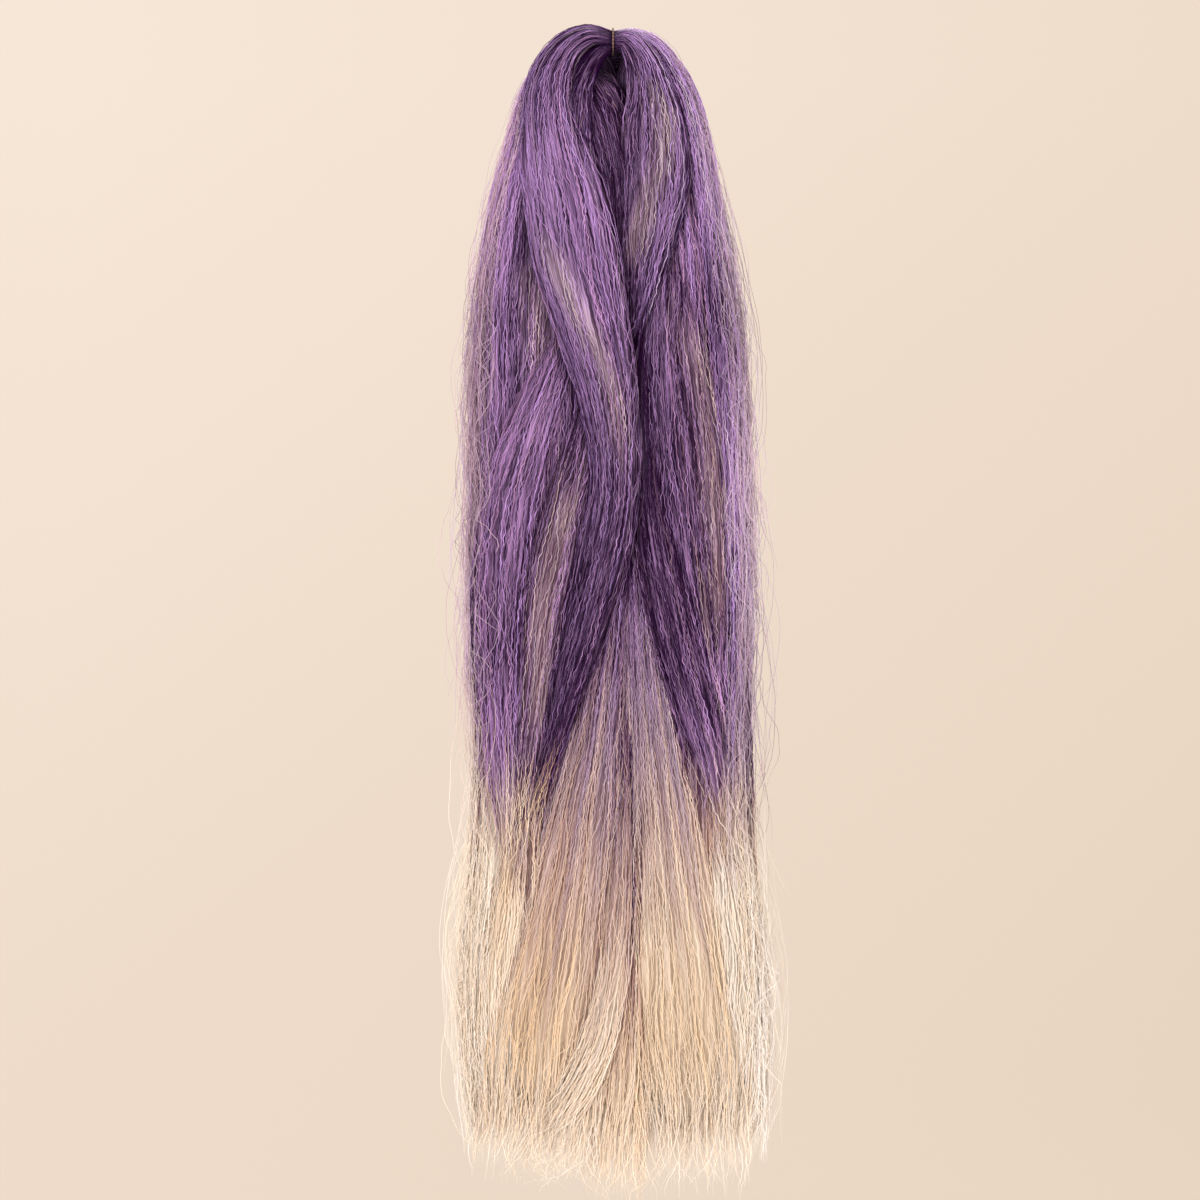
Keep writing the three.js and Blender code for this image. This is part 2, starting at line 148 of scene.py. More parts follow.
def new_material(name: str) -> tuple[bpy.types.Material, bpy.types.NodeTree, bpy.types.Node]:
    """Makes a material whose tree holds only its output.

    Args:
        name: the material's name.
    Returns:
        The material, its tree and its output node.
    """
    material = bpy.data.materials.new(name)
    material.use_nodes = True
    material.node_tree.nodes.clear()
    return material, material.node_tree, add_node(material.node_tree, "OutputMaterial")


class FibreForm(Enum):
    """How a fibre's form is given: modelled as a strand, or drawn on the surface under the strands."""

    STRAND = "strand"
    SURFACE = "surface"


@dataclass(frozen=True)
class FibreFinish:
    """Modacrylic braiding fibre, spun thin, crimped by heat and dip-dyed.

    The spun surface gives it a soft sheen. The small glints where the crimp turns are painted highlights in
    the strands' tone. The dye runs from purple through a greyed mauve to undyed blonde.
    """

    form: FibreForm
    # Where along the fade each pair of colours stands: a fibre in shadow, and one that catches the light.
    dye: tuple[tuple[float, str, str], ...] = (
        (0.0, "26032f", "c69ad5"), (0.25, "320e38", "bf98c6"), (0.45, "54304c", "cfb4c6"),
        (0.7, "a8847a", "e0ccc3"), (1.0, "dfc6a7", "f0e5d6"))
    streak: tuple[str, str] = ("6e4e64", "dcc8c6")
    cool: str = "f0f4ff"
    warm: str = "fff1e2"
    roughness: float = 0.3
    ior: float = 1.5
    gloss: float = 0.09
    # Fibres that are drawn on the surface lie under the strands and get this much of their light, first where
    # they are dyed and then where they are blonde.
    under_light: tuple[float, float] = (0.82, 0.64)
    gap_light: float = 0.72  # how much of that reaches the gaps between them
    crest_light: float = 1.2  # and how much reaches the crest of each
    drawn_spread: float = 0.4  # how much lighter or darker than their lock they are: painted light on crests, painted shade in gaps
    # The real fibre, 0.06 mm thick, is too fine to show, so several together are drawn as one.
    fibre_width_mm: float = 0.8
    fibre_run_mm: float = 50.0
    crimp_mm: float = 5.4
    crimp_across_mm: float = 7.0
    crimp_reach_mm: float = 1.5

    def fibre_colour(self, tree: bpy.types.NodeTree, tone: bpy.types.NodeSocket) -> bpy.types.NodeSocket:
        """Adds the dye's colours along the fibre, from shadow to light, with the pale streaks and the tint.

        Args:
            tree: the material's node tree.
            tone: how light the fibre is.
        Returns:
            The colour socket.
        """
        shares = {name: add_node(tree, "Attribute", {"attribute_name": name}).outputs["Fac"]
                  for name in ("fade", "warm", "streak")}
        sides = []
        for side, pale in zip((1, 2), self.streak):
            ramp = add_node(tree, "ValToRGB", links={"Fac": shares["fade"]})
            elements = ramp.color_ramp.elements
            while len(elements) < len(self.dye):
                elements.new(0.5)
            for element, stop in zip(elements, self.dye):
                element.position = stop[0]
                element.color = linear(stop[side])
            streaked = add_node(tree, "Mix", {"data_type": "RGBA", "in 7": linear(pale)},
                                {"Factor": shares["streak"], 6: ramp.outputs["Color"]})
            sides.append(streaked.outputs[2])
        lit = add_node(tree, "Mix", {"data_type": "RGBA"}, {"Factor": tone, 6: sides[0], 7: sides[1]})
        tint = add_node(tree, "Mix",
                        {"data_type": "RGBA", "in 6": linear(self.cool), "in 7": linear(self.warm)},
                        {"Factor": shares["warm"]})
        tinted = add_node(tree, "VectorMath", {"operation": "MULTIPLY"},
                          {0: lit.outputs[2], 1: tint.outputs[2]})
        return tinted.outputs[0]

    def drawn_fibres(self, tree: bpy.types.NodeTree) -> bpy.types.NodeSocket:
        """Adds fibres that are drawn along the surface, with a crimp.

        The fibre map holds millimetres across and along the lock. Noise with the crimp's wavelength shifts
        the fibres sideways, and noise that is stretched along them makes each one lighter or darker.

        Args:
            tree: the material's node tree.
        Returns:
            A value from 0, a gap, to 1, the crest of a fibre.
        """
        place = add_node(tree, "UVMap", {"uv_map": "fibre_mm"})
        waves = (1 / self.crimp_across_mm, 1 / self.crimp_mm, 0)
        bend = add_node(tree, "VectorMath", {"operation": "MULTIPLY", "in 1": waves},
                        {0: place.outputs["UV"]})
        shift = add_node(tree, "TexNoise", {"in Scale": 1.0, "in Detail": 1.0}, {"Vector": bend.outputs[0]})
        centred = add_node(tree, "VectorMath", {"operation": "SUBTRACT", "in 1": (0.5, 0.5, 0.5)},
                           {0: shift.outputs["Color"]})
        reach = (self.crimp_reach_mm, 0, 0)
        sideways = add_node(tree, "VectorMath", {"operation": "MULTIPLY_ADD", "in 1": reach},
                            {0: centred.outputs[0], 2: place.outputs["UV"]})
        fine = (1 / self.fibre_width_mm, 1 / self.fibre_run_mm, 0)
        lines = add_node(tree, "VectorMath", {"operation": "MULTIPLY", "in 1": fine},
                         {0: sideways.outputs[0]})
        fibres = add_node(tree, "TexNoise", {"in Scale": 1.0, "in Detail": 3.0, "in Roughness": 0.6},
                          {"Vector": lines.outputs[0]})
        sharp = add_node(tree, "MapRange", {"in From Min": 0.34, "in From Max": 0.62},
                         {"Value": fibres.outputs["Fac"]})
        return sharp.outputs["Result"]

    def material(self) -> bpy.types.Material:
        """Builds the material.

        Returns:
            Crimped fibre, for strands or for the surface under them.
        """
        material, tree, output = new_material(f"modacrylic_fibre_{self.form.value}")
        tone = add_node(tree, "Attribute", {"attribute_name": "tone"}).outputs["Fac"]
        shader = add_node(tree, "BsdfPrincipled", {"in Roughness": self.roughness, "in IOR": self.ior,
                                                   "in Specular IOR Level": self.gloss})
        if self.form is FibreForm.SURFACE:
            crest = self.drawn_fibres(tree)
            # Painted shade and light: the drawn fibres' tone is lower in their gaps and higher on their
            # crests, by the value that gives the bump.
            darker, lighter = -self.drawn_spread, self.drawn_spread
            spread = add_node(tree, "MapRange", {"in To Min": darker, "in To Max": lighter}, {"Value": crest})
            tone = add_node(tree, "Math", {"operation": "ADD", "use_clamp": True},
                            {0: tone, 1: spread.outputs["Result"]}).outputs[0]
            bump = add_node(tree, "Bump", {"in Strength": 0.6, "in Distance": 0.35 * MM}, {"Height": crest})
            tree.links.new(bump.outputs["Normal"], shader.inputs["Normal"])
        colour = self.fibre_colour(tree, tone)
        if self.form is FibreForm.SURFACE:
            # Painted shade and light: the surface under the strands gets less light, least in the fibres'
            # gaps and most on their crests.
            dyed, blonde = self.under_light
            fade = add_node(tree, "Attribute", {"attribute_name": "fade"}).outputs["Fac"]
            light = add_node(tree, "MapRange", {"in To Min": dyed, "in To Max": blonde}, {"Value": fade})
            gap = add_node(tree, "MapRange", {"in To Min": self.gap_light, "in To Max": self.crest_light},
                           {"Value": crest})
            share = add_node(tree, "Math", {"operation": "MULTIPLY"},
                             {0: light.outputs["Result"], 1: gap.outputs["Result"]})
            colour = add_node(tree, "VectorMath", {"operation": "SCALE"},
                              {0: colour, "Scale": share.outputs[0]}).outputs[0]
        tree.links.new(colour, shader.inputs["Base Color"])
        tree.links.new(shader.outputs[0], output.inputs["Surface"])
        return material


@dataclass(frozen=True)
class ElasticFinish:
    """Natural latex elastic, extruded and wrapped in a fine textile thread, so that it is matt and ribbed."""

    colour: str = "6e4f45"
    dark: str = "3f2c28"
    roughness: float = 0.7
    thread_mm: float = 0.35

    def material(self) -> bpy.types.Material:
        """Builds the material.

        Returns:
            A tan elastic cord, ribbed across its run, with painted shade in the grooves between the ribs.
        """
        material, tree, output = new_material("latex_elastic_wrapped")
        place = add_node(tree, "UVMap", {"uv_map": "cord_mm"})
        wave = add_node(tree, "TexWave", {"bands_direction": "Y", "in Scale": 1 / self.thread_mm / 20,
                                          "in Distortion": 0.6}, {"Vector": place.outputs["UV"]})
        rib = wave.outputs["Fac"]
        # Painted shade: the colour is darker in the grooves between the thread's turns, by the same wave that
        # gives the bump.
        colour = add_node(tree, "Mix",
                          {"data_type": "RGBA", "in 6": linear(self.dark), "in 7": linear(self.colour)},
                          {"Factor": rib})
        bump = add_node(tree, "Bump", {"in Strength": 0.5, "in Distance": 0.1 * MM}, {"Height": rib})
        shader = add_node(tree, "BsdfPrincipled", {"in Roughness": self.roughness},
                          {"Base Color": colour.outputs[2], "Normal": bump.outputs["Normal"]})
        tree.links.new(shader.outputs[0], output.inputs["Surface"])
        return material


@dataclass(frozen=True)
class Streak:
    """A pale streak: a run of places as drop and side, its half width as a share, and its strength."""

    run: list[tuple[float, float]]
    spread: float
    strength: float

    def on(self, points: Array) -> Array:
        """Works out how much of the streak there is at each point.

        It is a bell curve across the streak's run, which fades in and out over its first and last fifth.

        Args:
            points: the points.
        Returns:
            Values from 0 to strength.
        """
        run = np.array(self.run)
        drop, side = -points[..., 2] / DROP, points[..., 0] / HALF_WIDTH
        along = (drop - run[0, 0]) / (run[-1, 0] - run[0, 0])
        ends = np.clip(np.minimum(along, 1 - along) / 0.2, 0, 1)
        off = (side - np.interp(drop, run[:, 0], run[:, 1])) / self.spread
        return self.strength * ends * np.exp(-off * off)


@dataclass
class Lock:
    """A lock of hair: a run of oval sections, worked out from a table.

    The table's columns are the drop below the tie, how far to the right, how far to the front, and half the
    width and half the thickness of the section, as shares of the hank's own sizes. A root places the lock's
    start in the bundle at the tie, as shares of the bundle's half height and half depth: up, front and size.
    The fade is where the dye's fade starts and ends. The tone is how light the lock is at places spread
    evenly along it, painted shade and light included: most locks are painted darker where they go into the
    tie.
    It may go past 0 and 1, because the strands' own tones are added before it is held between them.
    The fringe is how open the last of the lock stays, from 0, where its strands close to a point, to 1.
    """

    name: str
    half: Half
    rows: list[tuple[float, float, float, float, float]]
    facing: Facing
    fade: tuple[float, float] = (0.6, 0.75)
    root: tuple[float, float, float] | None = None
    under_tie: bool = False
    tone: tuple[float, ...] = (0.5,)
    warm: float = 0.5
    spacing: float = FRONT_SPACING
    fringe: float = 0.6
    streaks: list[Streak] = field(default_factory=list)

    STATIONS = 500

    def __post_init__(self) -> None:
        """Works out the lock's run once, at even steps, and how its facing arc is shared out."""
        table = np.array(self.rows, float)
        top = TIE_LOW[2] if self.under_tie else 0.0
        sections = np.column_stack([
            table[:, 1] * HALF_WIDTH, -table[:, 2] * HALF_DEPTH, top - table[:, 0] * DROP,
            table[:, 3] * HALF_WIDTH, table[:, 4] * HALF_DEPTH,
        ])
        if self.root:
            up, front, size = self.root
            start = [0.0, -front * NECK_HALF_DEPTH, BUNDLE_CENTRE[2] + up * NECK_HALF_HEIGHT,
                     size * NECK_HALF_HEIGHT, size * NECK_HALF_DEPTH]
            sections = np.vstack([start, sections])
        curve = catmull_rom(sections, self.STATIONS)
        steps = np.linalg.norm(np.diff(curve[:, :3], axis=0), axis=1)
        far = np.concatenate([[0], np.cumsum(steps)])
        self.length = float(far[-1])
        even = np.linspace(0, self.length, self.STATIONS)
        self.track = np.column_stack([np.interp(even, far, column) for column in curve.T])
        run = np.gradient(self.track[:, :3], axis=0)
        if self.root:
            run[0] = (self.half.value * np.linalg.norm(run[1]), 0, 0)
        self.run = run / np.linalg.norm(run, axis=1, keepdims=True)
        across = np.cross(self.run, (0, 1, 0))
        self.across = across / np.linalg.norm(across, axis=1, keepdims=True)
        self.outward = np.cross(self.run, self.across)
        self.rng = np.random.default_rng([SEED, self.half.value + 5, *map(ord, self.name)])
        self.waves = self.rng.uniform(0, 1, (3, 4))
        middle, spread = self.facing.value
        self.turns = np.radians(middle + np.linspace(-spread, spread, 181))
        wide, thick = np.percentile(self.track[:, 3:], 70, axis=0)
        pace = np.hypot(wide * np.sin(self.turns), thick * np.cos(self.turns))
        self.arcs = np.concatenate([[0], np.cumsum((pace[1:] + pace[:-1]) / 2 * np.diff(self.turns))])

    @property
    def frayed(self) -> bool:
        """Whether it ends among the hank's tips, and not as a tail that merges into other locks."""
        return self.rows[-1][0] > 0.9

    @property
    def at_side(self) -> bool:
        """Whether it faces one of the hank's sides."""
        return self.facing in (Facing.LEFT, Facing.RIGHT)

    def turn_at(self, share: Array) -> Array:
        """Turns shares of the facing arc, even along the typical section's outline, to angles."""
        return np.interp(share * self.arcs[-1], self.arcs, self.turns)

    def at(self, along: Array, values: Array) -> Array:
        """Reads values of the lock's stations at any places along it.

        Args:
            along: places from 0, the start, to 1, the tip.
            values: one row per station.
        Returns:
            One row per place.
        """
        spot = np.clip(along, 0, 1) * (self.STATIONS - 1)
        low = np.minimum(spot.astype(int), self.STATIONS - 2)
        part = (spot - low)[..., None]
        return values[low] * (1 - part) + values[low + 1] * part

    def relief(self, along: Array, turn: Array) -> Array:
        """Works out how far broad wisps stand above the lock's plain oval.

        It is a sum of cosines round the lock, of 5, 8 and 13 waves, whose phases wander along it.

        Args:
            along: places from 0 to 1.
            turn: angles round the lock, in radians.
        Returns:
            Heights in metres.
        """
        total = np.zeros(np.broadcast(along, turn).shape)
        for waves, reach, (phase, pace, sway, start) in zip((5, 8, 13), (0.6, 0.6, 0.5), self.waves):
            wander = 2 * np.pi * phase + (1 + sway) * np.sin(2 * np.pi * (start + (1 + 2 * pace) * along))
            total += reach * MM * np.cos(waves * turn + wander)
        return total

    def normal(self, along: Array, turn: Array) -> Array:
        """Works out the outward direction, square to the section's oval.

        Args:
            along: places from 0 to 1.
            turn: angles round the lock, in radians.
        Returns:
            Unit vectors, with X, Y and Z in the last axis.
        """
        wide, thick = np.moveaxis(self.at(along, self.track)[..., 3:], -1, 0)
        square = (self.at(along, self.across) * (thick * np.cos(turn))[..., None]
                  + self.at(along, self.outward) * (wide * np.sin(turn))[..., None])
        return square / np.maximum(np.linalg.norm(square, axis=-1, keepdims=True), 1e-9)

    def places(self, along: Array, turn: Array, height: Array | float, fringed: bool = False) -> Array:
        """Works out points on or above the lock.

        A point is the section's centre, plus its half width times the cosine of the angle across the lock,
        plus its half thickness times the sine of it outward, plus the relief and the height along the normal.

        Args:
            along: places from 0 to 1, or a little past the tip.
            turn: angles round the lock, in radians.
            height: heights above the surface, in metres.
            fringed: whether the section stays open at the tip, as loose strands do, and doesn't close as the
                solid lock does.
        Returns:
            Points, with X, Y and Z in the last axis.
        """
        track = self.at(along, self.track)
        wide, thick = track[..., 3], track[..., 4]
        if fringed:
            kept = self.at(np.minimum(along, 0.9), self.track)
            open_share = self.fringe * np.clip((along - 0.88) / 0.08, 0, 1)
            wide = wide + (np.maximum(wide, kept[..., 3]) - wide) * open_share
            thick = thick + (np.maximum(thick, kept[..., 4]) - thick) * open_share * 0.5
        root_ease = np.clip(along * self.length / (25 * MM), 0, 1) if self.root else 1.0
        lift = (self.relief(along, turn) + height) * root_ease
        past = np.maximum(along - 1, 0)[..., None] * self.length
        return (track[..., :3] + self.at(along, self.run) * past
                + self.at(along, self.across) * (wide * np.cos(turn))[..., None]
                + self.at(along, self.outward) * (thick * np.sin(turn))[..., None]
                + self.normal(along, turn) * lift[..., None])

    def level_section(self, z: Array) -> tuple[Array, Array, Array, Array, Array]:
        """Reads the oval of the lock's level section, below its crest.

        Args:
            z: heights.
        Returns:
            Its centre's X and Y, its two half sizes, and whether the lock reaches that height.
        """
        crest = int(np.argmax(self.track[:, 2]))
        down = self.track[crest:][::-1]
        x, y, wide, thick = (np.interp(z, down[:, 2], down[:, column]) for column in (0, 1, 3, 4))
        steep = np.interp(z, down[:, 2], np.abs(self.run[crest:, 2])[::-1])
        return x, y, wide / np.maximum(steep, 0.5), thick, (z > down[0, 2]) & (z < down[-1, 2])

    def hides(self, points: Array, facing: Facing) -> Array:
        """Tests which points the lock hides, by the oval of its level section.

        A point is hidden more than a millimetre inside the oval. One on the front or the back of a lock is
        also hidden where the middle of this oval stands between it and someone who faces it.

        Args:
            points: points, with X, Y and Z in the last axis.
            facing: which side of their lock they are on.
        Returns:
            True where the point is hidden.
        """
        x, y, wide, thick, reached = self.level_section(points[..., 2])
        wide, thick = np.maximum(wide - 1 * MM, 0.1 * MM), np.maximum(thick - 1 * MM, 0.1 * MM)
        off = ((points[..., 0] - x) / wide) ** 2
        hidden = off + ((points[..., 1] - y) / thick) ** 2 < 1
        if facing in (Facing.FRONT, Facing.BACK):
            behind = points[..., 1] > y if facing is Facing.FRONT else points[..., 1] < y
            hidden |= behind & (off < 0.75)
        return hidden & reached

    def shades(self, points: Array, facing: Facing) -> Array:
        """Works out how much the lock shades hair that lies beside it and lower than its own face.

        The shade is full at the lock's edge and gone half a width off, and grows over 9 mm of depth.

        Args:
            points: points, with X, Y and Z in the last axis.
            facing: which side of their lock they are on.
        Returns:
            Values from 0, in the open, to 1.
        """
        x, y, wide, thick, reached = self.level_section(points[..., 2])
        beside = np.clip((1.5 - np.abs(points[..., 0] - x) / wide) / 0.5, 0, 1)
        low = y + thick - points[..., 1] if facing is Facing.BACK else points[..., 1] - y + thick
        return np.where(reached, beside * np.clip((low - 1.5 * MM) / (9 * MM), 0, 1), 0)

    def shade_from(self, others: list["Lock"], points: Array) -> Array:
        """Works out how dark the locks beside it leave points on this lock: the deepest of their shades.

        Args:
            others: the locks that may shade it.
            points: the points.
        Returns:
            Values from 0 to 1, and less at the hank's sides, which the light reaches from one side more.
        """
        shade = np.zeros(points.shape[:-1])
        for other in others:
            if other is not self:
                np.maximum(shade, other.shades(points, self.facing), out=shade)
        return shade * (SIDE_SHADE if self.at_side else 1)

    def values(self, along: Array, points: Array, tone: Array, jitter: Array,
               warm: Array | float) -> dict[str, Array]:
        """Works out the dye's fade, the streaks, the tone and the warmth at each point.

        Args:
            along: the points' places along the lock.
            points: the points.
            tone: how much lighter or darker each is than the lock, which counts for less in the blonde.
            jitter: how much each is further along in its fade.
            warm: how much warmer or cooler each is than the lock.
        Returns:
            For each attribute's name, a value per point.
        """
        start, end = self.fade
        fade = np.clip((-points[..., 2] / DROP - start) / (end - start) + jitter, 0, 1)
        streak = sum((one.on(points) for one in self.streaks), np.zeros(fade.shape))
        own = np.interp(along, np.linspace(0, 1, len(self.tone)), self.tone)
        return {"fade": fade, "streak": streak * (1 - STREAK_LOSS * fade),
                "tone": np.clip(own + tone * (1 - CONTRAST_LOSS * fade), 0, 1),
                "warm": np.clip(self.warm + warm + 0 * fade, 0, 1)}


def catmull_rom(rows: Array, count: int) -> Array:
    """Runs a smooth curve through rows of numbers.

    Between two rows it is the cubic whose slope at each is half the step from the row before to the next.

    Args:
        rows: one row of numbers per point.
        count: how many places to work out.
    Returns:
        One row of numbers per place.
    """
    padded = np.vstack([2 * rows[0] - rows[1], rows, 2 * rows[-1] - rows[-2]])
    spot = np.linspace(0, len(rows) - 1, count)
    low = np.minimum(spot.astype(int), len(rows) - 2)
    t = (spot - low)[:, None]
    a, b, c, d = (padded[low + step] for step in range(4))
    return b + t / 2 * (c - a + t * (2 * a - 5 * b + 4 * c - d + t * (3 * (b - c) + d - a)))


@dataclass
class Surface:
    """Points, faces and what they carry, gathered until a mesh is made of them."""

    points: list[Array] = field(default_factory=list)
    quads: list[Array] = field(default_factory=list)
    triangles: list[Array] = field(default_factory=list)
    values: dict[str, list[Array]] = field(default_factory=dict)
    maps: dict[str, list[tuple[Array, Array]]] = field(default_factory=dict)
    count: int = 0

    def add(self, points: Array, quads: Array, triangles: Array, values: dict[str, Array],
            maps: dict[str, tuple[Array, Array]]) -> None:
        """Adds a stretch of surface.

        Args:
            points: its points.
            quads: its four-sided faces, as point numbers.
            triangles: its three-sided faces, as point numbers.
            values: for each attribute's name, a value per point.
            maps: for each texture map's name, places for the corners of the quads and of the triangles.
        """
        self.points.append(points.reshape(-1, 3))
        self.quads.append(quads + self.count)
        self.triangles.append(triangles + self.count)
        for name, numbers in values.items():
            self.values.setdefault(name, []).append(numbers.ravel())
        for name, corners in maps.items():
            self.maps.setdefault(name, []).append(corners)
        self.count += points.size // 3

    def triangle_count(self) -> int:
        """Returns how many triangles the faces make."""
        return 2 * sum(map(len, self.quads)) + sum(map(len, self.triangles))

    def make(self, name: str, material: bpy.types.Material,
             node: str | None = None) -> bpy.types.Object:
        """Makes the object.

        Args:
            name: the piece's name.
            material: its material.
            node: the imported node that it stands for.
        Returns:
            The piece, which rides on the root body.
        """
        quads, triangles = np.vstack(self.quads), np.vstack(self.triangles)
        mesh = bpy.data.meshes.new(name)
        points = np.vstack(self.points)
        mesh.vertices.add(len(points))
        mesh.vertices.foreach_set("co", points.astype(np.float32).ravel())
        corners = np.concatenate([quads.ravel(), triangles.ravel()])
        mesh.loops.add(len(corners))
        mesh.loops.foreach_set("vertex_index", corners.astype(np.int32))
        starts = np.concatenate([np.arange(len(quads)) * 4, quads.size + np.arange(len(triangles)) * 3])
        mesh.polygons.add(len(starts))
        mesh.polygons.foreach_set("loop_start", starts.astype(np.int32))
        for attribute, parts in self.values.items():
            layer = mesh.attributes.new(attribute, "FLOAT", "POINT")
            layer.data.foreach_set("value", np.concatenate(parts).astype(np.float32))
        for map_name, parts in self.maps.items():
            layer = mesh.uv_layers.new(name=map_name)
            on_quads = [first.reshape(-1, 2) for first, _ in parts]
            on_triangles = [second.reshape(-1, 2) for _, second in parts]
            places = np.concatenate(on_quads + on_triangles)
            layer.uv.foreach_set("vector", places.astype(np.float32).ravel())
        mesh.update(calc_edges=True)
        mesh.validate()
        mesh.shade_smooth()
        mesh.materials.append(material)
        piece = bpy.data.objects.new(name, mesh)
        bpy.context.scene.collection.objects.link(piece)
        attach(piece, "root")
        if node:
            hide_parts(node)
        log.info("%s: %d triangles", name, self.triangle_count())
        return piece


def ring_faces(rings: int, sides: int) -> Array:
    """Numbers the quads between closed rings of points.

    Args:
        rings: how many rings.
        sides: how many points each holds.
    Returns:
        Quads as point numbers, in the order ring, side.
    """
    here = np.arange(rings - 1)[:, None] * sides
    side = np.arange(sides)[None, :]
    beside = (side + 1) % sides
    after = here + sides
    return np.stack([here + side, here + beside, after + beside, after + side], -1).reshape(-1, 4)


def ring_map(rings: int, sides: int) -> Array:
    """Gives the corners of ring_faces a place round, 0 to 1, and along, 0 to 1.

    Args:
        rings: how many rings.
        sides: how many points each holds.
    Returns:
        Places, one row of four corners per quad.
    """
    low, left = np.meshgrid(np.arange(rings - 1), np.arange(sides), indexing="ij")
    around = np.stack([left, left + 1, left + 1, left], -1) / sides
    along = np.stack([low, low, low + 1, low + 1], -1) / (rings - 1)
    return np.stack([around, along], -1).reshape(-1, 4, 2)


def add_tubes(surface: Surface, paths: Array, radii: Array, facing: Array, values: dict[str, Array],
              first: int, total: int) -> None:
    """Adds closed tubes along paths.

    Each ring is a regular polygon round the path's point, in the plane of the outward direction and of the
    one square to it and to the path, and the end rings are closed by a face.

    Args:
        surface: what to add them to.
        paths: points, as tube, station, XYZ.
        radii: a radius per tube and station.
        facing: the outward direction per tube and station.
        values: for each attribute's name, a value per tube and station.
        first: the number of the first tube among those of its piece.
        total: how many tubes the piece has room for on its bake map.
    """
    tubes, stations, _ = paths.shape
    run = np.gradient(paths, axis=1)
    run /= np.maximum(np.linalg.norm(run, axis=2, keepdims=True), 1e-9)
    side = np.cross(run, facing)
    side /= np.maximum(np.linalg.norm(side, axis=2, keepdims=True), 1e-9)
    up = np.cross(side, run)
    turn = np.arange(STRAND_SIDES) * 2 * np.pi / STRAND_SIDES
    rings = (paths[:, :, None] + radii[:, :, None, None]
             * (side[:, :, None] * np.cos(turn)[:, None] + up[:, :, None] * np.sin(turn)[:, None]))
    each = stations * STRAND_SIDES
    offset = np.arange(tubes)[:, None, None] * each
    quads = (ring_faces(stations, STRAND_SIDES)[None, :, ::-1] + offset).reshape(-1, 4)
    cap = np.arange(STRAND_SIDES)
    caps = np.stack([cap, cap[::-1] + each - STRAND_SIDES])
    triangles = (caps[None] + offset).reshape(-1, 3)
    unit = ring_map(stations, STRAND_SIDES)[:, ::-1]
    strip = np.broadcast_to(unit, (tubes, *unit.shape)).copy()
    columns = -(-total // BAKE_ROWS)
    column, row = np.divmod(first + np.arange(tubes), BAKE_ROWS)
    cell = np.stack([column, row], -1)[:, None, None]
    strip = (strip * (0.8, 0.98) + (0.1, 0.01) + cell) / (columns, BAKE_ROWS)
    ends = np.broadcast_to((cell + 0.5) / (columns, BAKE_ROWS), (tubes, 2, 3, 2)).copy()
    surface.add(rings, quads, triangles,
                {name: np.repeat(value[..., None], STRAND_SIDES, axis=2) for name, value in values.items()},
                {"OFBake": (strip.reshape(-1, 4, 2), ends.reshape(-1, 3, 2))})


def wander(knots: Array, rows: Array, places: Array) -> Array:
    """Reads smooth random lines: knots joined by a cosine ease.

    Args:
        knots: the lines' knots, as line, knot.
        rows: which line each row of places reads.
        places: places from 0 to 1, as row, station.
    Returns:
        Values, as row, station.
    """
    spot = np.clip(places, 0, 1) * (knots.shape[1] - 1.001)
    low = spot.astype(int)
    part = (1 - np.cos((spot - low) * np.pi)) / 2
    return knots[rows[:, None], low] * (1 - part) + knots[rows[:, None], low + 1] * part


class LooseKind(Enum):
    """A kind of loose hair.

    The numbers are how many there are on a lock, the stations of each, the shortest and the longest in
    millimetres, and the mean and the greatest reach off the lock in millimetres.
    """

    FUZZ = (620, 10, 20, 70, 3.2, 8.0)
    FLYAWAY = (190, 20, 60, 190, 10.0, 17.0)


